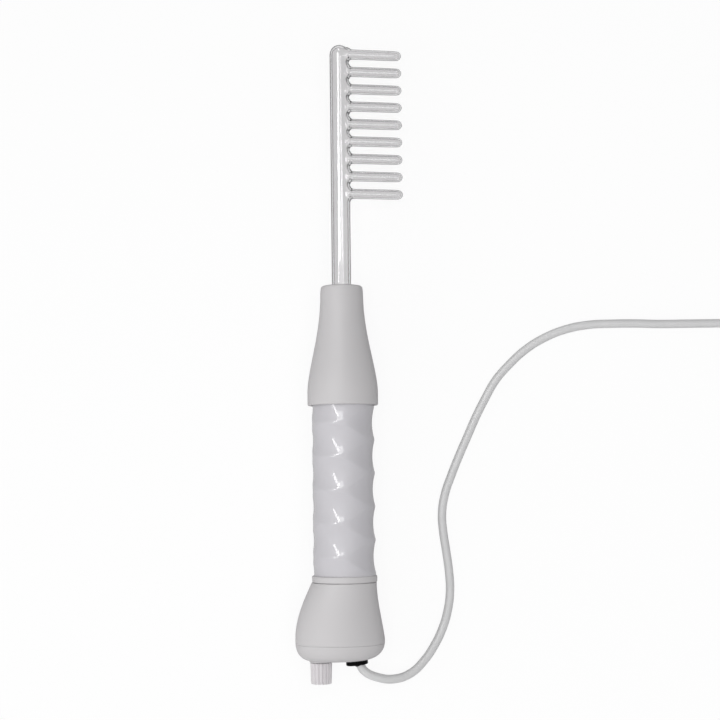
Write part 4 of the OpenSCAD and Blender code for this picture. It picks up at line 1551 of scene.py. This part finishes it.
@dataclass
class CordSet:
    """Mains cord: strain relief, cord, tie and plug."""

    wand: WandFrame
    plug: Plug = field(default_factory=Plug)
    diameter: float = 5.0 * MM
    curve_steps: int = 5
    round_steps: int = 6
    coil_x: float = 258.0 * MM
    coil_y: float = 20.0 * MM
    coil_inner_r: float = 23.0 * MM
    coil_step: float = 5.45 * MM
    coil_low: float = 3.6 * MM
    turns_in: float = 2.75
    turns_out: float = 2.5
    rings_per_turn: int = 24
    tie_w: float = 8.0 * MM
    tie_t: float = 0.8 * MM
    tie_fill: float = 0.9
    tie_power: float = 2 / 0.3
    tie_rows: tuple[float, ...] = (-1.0, -0.94, 0.94, 1.0)
    tie_points: int = 48
    tail_y: float = -119.0 * MM

    @property
    def relief(self) -> StrainRelief:
        """The strain relief that the cord comes out of."""
        return StrainRelief(self.wand, self.diameter / 2)

    @property
    def exit(self) -> Vector:
        """Point at which the cord leaves the relief."""
        return self.relief.exit

    @property
    def lead_end(self) -> Vector:
        """Where the lead meets the coil."""
        return Vector((self.coil_x, self.coil_y, self.coil_low))

    @property
    def coil_centre(self) -> Vector:
        """Middle of the coil's lower layer."""
        outer_r = self.coil_inner_r + self.coil_step * self.turns_in
        return self.lead_end + Vector((self.diameter, -outer_r, 0))

    def lead(self) -> list[Vector]:
        """Route from the relief over the table to the coil.

        Returns:
            The points.
        """
        route = [
            (14.5, -183.7, 16.8), (24.5, -185, 13.7), (34, -182, 10.5), (41.5, -175.5, 7.5),
            (47.5, -167.5, 5), (52.5, -158, 3.2), (56, -147, 2.6),
            (57.5, -135.5, 2.5), (57, -124, 2.5), (55.5, -112, 2.5),
            (54, -101, 2.5), (53.5, -90.5, 2.5), (55.5, -79, 2.5), (59.5, -68, 2.5), (64.5, -56, 2.5),
            (69.5, -45, 2.5), (74.5, -34, 2.5), (80, -23.5, 2.5), (86.5, -12.5, 2.5), (94.5, -3.5, 2.5),
            (104.5, 5.5, 2.5), (116, 12.5, 2.5), (129, 17.5, 2.5), (142.5, 20, 2.5), (156, 20.5, 2.5),
            (170, 20.5, 2.5), (184, 20, 2.5), (198, 20, 2.5), (212, 20, 2.5), (226, 20, 2.8), (240, 20, 3.3),
        ]
        bend = Vector((self.diameter, 0, 0))
        return [
            self.exit, self.exit + self.relief.way * self.diameter, *[Vector(p) * MM for p in route],
            self.lead_end - bend, self.lead_end,
        ]

    def coil(self) -> list[Vector]:
        """Coil that winds inwards on the lower layer and outwards on the upper one.

        Returns:
            The points.
        """
        points = []
        for i in range(round((self.turns_in + self.turns_out) * self.rings_per_turn) + 1):
            turn = i / self.rings_per_turn - self.turns_in
            radius = self.coil_inner_r + self.coil_step * abs(turn)
            angle = math.radians(90 - 360 * (turn + self.turns_in))
            rise = self.coil_step * ease(min(1.0, max(0.0, 0.5 + 2 * turn)))
            away = Vector((radius * math.cos(angle), radius * math.sin(angle), rise))
            points.append(self.coil_centre + away)
        return points

    def tail(self, leave: Vector) -> list[Vector]:
        """Route from the coil to the plug.

        Args:
            leave: last point of the coil.

        Returns:
            The points.
        """
        down = Vector((0, -self.diameter, 0))
        out = leave + down
        end = Vector((leave.x, self.tail_y, self.plug.thickness / 2))
        run = [(-14, -1.6), (-25, -4.6), (-37, -6.3), (-49, -6.5)]
        rise = [(38, -4.2), (25, -2.8), (13, -0.6)]
        return [
            out, out + down, *[out + Vector((0, y, z)) * MM for y, z in run],
            *[end + Vector((0, y, z)) * MM for y, z in rise], end - down, end,
        ]

    def build(self) -> None:
        """Makes the relief, the plug, the tie and the cord."""
        self.relief.build()
        coil = self.coil()
        tail = self.tail(coil[-1])
        pieces = [*self.plug.build(tail[-1]), self._tie()]
        self._cord([*self.lead(), *coil, *tail])

    def _cord(self, route: Sequence[Vector]) -> None:
        """One smooth round cord through the whole route.

        Args:
            route: its points.
        """
        curve = bpy.data.curves.new("mains_cord", "CURVE")
        curve.dimensions = "3D"
        curve.resolution_u = self.curve_steps
        curve.bevel_depth = self.diameter / 2
        curve.bevel_resolution = self.round_steps
        curve.use_fill_caps = True
        spline = curve.splines.new("BEZIER")
        spline.bezier_points.add(len(route) - 1)
        for point, place in zip(spline.bezier_points, route):
            point.co = place
            point.handle_left_type = point.handle_right_type = "AUTO"
        curve.materials.append(material(FINISHES[Slot.CORD_GREY]))
        made = put_in_scene("mains_cord", curve)
        seat(made, Body.WAND, ["cord_lead", "cord_coil", "cord_tail"])
        self.exit

    def _tie(self) -> bpy.types.Object:
        """Makes the flat band round one side of the coil.

        Returns:
            The band.
        """
        low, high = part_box("cord_tie")
        half_w, half_t = (high.y - low.y - self.tie_t) / 2, (high.z - low.z - self.tie_t) / 2
        stations = [across * self.tie_w / 2 for across in self.tie_rows]
        piece = Workpiece("coil_band")
        piece.loft([rounded_oblong(s, half_w, half_t, self.tie_power, self.tie_points) for s in stations])
        bmesh.ops.solidify(piece.bm, geom=list(piece.bm.faces), thickness=self.tie_t * self.tie_fill)
        piece.outward(piece.bm.faces)
        sideways = Matrix(((0, 0, 1), (1, 0, 0), (0, 1, 0))).to_4x4()
        place = Matrix.Translation((low + high) / 2) @ sideways
        return piece.finish(place, Slot.BLACK_PLASTIC, ["cord_tie"])


def dress_inner_works() -> None:
    """Gives every solid of the frame the finish of its slot."""
    for part in frame["record"]["subparts"]:
        node = frame["nodes"][part["node"]]
        node.data.materials.clear()
        node.data.materials.append(material(FINISHES[Slot(part["material_slot"])]))
        LOG.info("%s is dressed in %s", part["node"], part["material_slot"])


@dataclass(frozen=True)
class Lamp:
    """A soft rectangular lamp: where it hangs, its width and length, its power and what it acts on."""

    name: str
    place: Triple
    size: tuple[float, float]
    watts: float
    along: Triple = (0.0, 1.0, 0.0)
    mirrored: bool = True
    lights: bool = True


LAMPS = (
    Lamp("soft", (0.06, -0.1, 1.0), (0.8, 0.8), 5.3, mirrored=False),
    Lamp("side", (-0.9, -0.25, 0.35), (0.6, 0.6), 2.0, mirrored=False),
    Lamp("streak", (-0.6, 0.155, 0.92), (0.11, 0.62), 3.6, along=(0.455, 0.37, 0.0), lights=False),
    Lamp("front", (-0.1, -1.0, 0.4), (0.5, 0.5), 1.1, mirrored=False),
    Lamp("panel", (-0.26, 0.36, 0.92), (0.36, 0.34), 3.0, lights=False),
    Lamp("beyond", (-0.1, 1.3, 0.8), (0.5, 0.5), 4.0, lights=False),
)


@dataclass
class Studio:
    """Camera over the table, pale floor and soft lamps."""

    target: Triple = (6.25 * MM, -0.83 * MM, 20.5 * MM)
    elevation: float = math.radians(85.4)
    distance: float = 864 * MM
    roll: float = math.radians(0.68)
    focal_px: float = 1484.0
    image_px: float = 720.0
    sensor: float = 36.0
    nearest: float = 0.01
    farthest: float = 20.0
    lit: Triple = (-4.0 * MM, -75.0 * MM, 20.5 * MM)
    floor_half: float = 4.0
    floor_drop: float = 0.05 * MM
    paper: Colour = (0.6, 0.6, 0.6)
    glow: float = 1.06
    glow_share: float = 0.85
    sky_left: Colour = (0.58, 0.58, 0.585)
    sky_right: Colour = (0.28, 0.28, 0.285)

    def build(self) -> None:
        """Makes the camera, the floor, the world and the lamps."""
        self._camera()
        self._floor()
        self._world()
        for lamp in LAMPS:
            self._hang(lamp)
        bpy.context.scene.view_settings.view_transform = "Standard"

    @staticmethod
    def _pose(place: Vector, right: Vector, up: Vector, back: Vector) -> Matrix:
        """Pose of a camera or lamp at a place, from its three axes."""
        return Matrix.Translation(place) @ Matrix((right, up, back)).transposed().to_4x4()

    def _camera(self) -> None:
        """Camera at the photograph's angle."""
        back = Vector((0, -math.cos(self.elevation), math.sin(self.elevation)))
        level = Vector((1, 0, 0))
        rise = back.cross(level)
        up = rise * math.cos(self.roll) + level * math.sin(self.roll)
        right = level * math.cos(self.roll) - rise * math.sin(self.roll)
        lens = bpy.data.cameras.new("camera")
        lens.sensor_width = self.sensor
        lens.lens = self.sensor * self.focal_px / self.image_px
        lens.clip_start = self.nearest
        lens.clip_end = self.farthest
        camera = put_in_scene("camera", lens)
        camera.matrix_world = self._pose(Vector(self.target) + back * self.distance, right, up, back)
        bpy.context.scene.camera = camera

    def _floor(self) -> None:
        """Wide pale floor, white where the camera or the glass looks at it."""
        piece = Workpiece("floor")
        bmesh.ops.create_grid(piece.bm, x_segments=1, y_segments=1, size=self.floor_half)
        floor = piece.stand(Matrix.Translation((0, 0, -self.floor_drop)))
        finish = bpy.data.materials.new("floor")
        finish.use_nodes = True
        board = Board(finish.node_tree)
        seen = board.add("ShaderNodeLightPath", output="Is Camera Ray")
        seen_through = board.add("ShaderNodeLightPath", output="Is Transmission Ray")
        paper = board.add("ShaderNodeBsdfDiffuse", None, {"Color": self.paper})
        glow = board.add("ShaderNodeEmission", None, {"Color": WHITE, "Strength": self.glow})
        share = (seen + seen_through) * self.glow_share
        board.close(board.add("ShaderNodeMixShader", None, {0: share, 1: paper, 2: glow}))
        floor.data.materials.append(finish)

    def _world(self) -> None:
        """Pale surroundings that darken towards the comb's side, and plain white behind the object."""
        world = bpy.data.worlds.new("studio")
        world.use_nodes = True
        board = Board(world.node_tree)
        way = board.add("ShaderNodeTexCoord", output="Generated")
        side = board.add("ShaderNodeSeparateXYZ", None, {"Vector": way}, "X")
        grade = board.add(
            "ShaderNodeValToRGB",
            {"stops": [(0.0, self.sky_left), (1.0, self.sky_right)]},
            {"Fac": side * 0.5 + 0.5},
        )
        seen = board.add("ShaderNodeLightPath", output="Is Camera Ray")
        colour = board.mix(seen, grade, WHITE)
        sky = board.add("ShaderNodeBackground", None, {"Color": colour, "Strength": 1.0})
        board.add("ShaderNodeOutputWorld", None, {"Surface": sky})
        bpy.context.scene.world = world

    def _hang(self, lamp: Lamp) -> None:
        """Hangs a lamp so that it faces the grip.

        Args:
            lamp: the lamp.
        """
        panel = bpy.data.lights.new(lamp.name, "AREA")
        panel.shape = "RECTANGLE"
        panel.size, panel.size_y = lamp.size
        panel.energy = lamp.watts
        made = put_in_scene(lamp.name, panel)
        back = (Vector(lamp.place) - Vector(self.lit)).normalized()
        side = Vector(lamp.along).cross(back).normalized()
        made.matrix_world = self._pose(Vector(lamp.place), side, back.cross(side), back)
        made.visible_glossy = lamp.mirrored
        made.visible_diffuse = lamp.lights


def main() -> None:
    """Builds the studio, the cord and the pieces in order."""
    logging.basicConfig(level=logging.INFO, format="%(message)s")
    wand = WandFrame.from_nodes()
    Studio().build()
    dress_inner_works()
    cord = CordSet(wand)
    cord.build()
    knob = Knob(wand)
    Base(wand).build([knob.hole(), cord.relief.hole()])
    knob.build()
    Grip(wand).build()
    Nose(wand).build()
    GlassElectrode(wand).build()


if __name__ == "__main__":
    main()
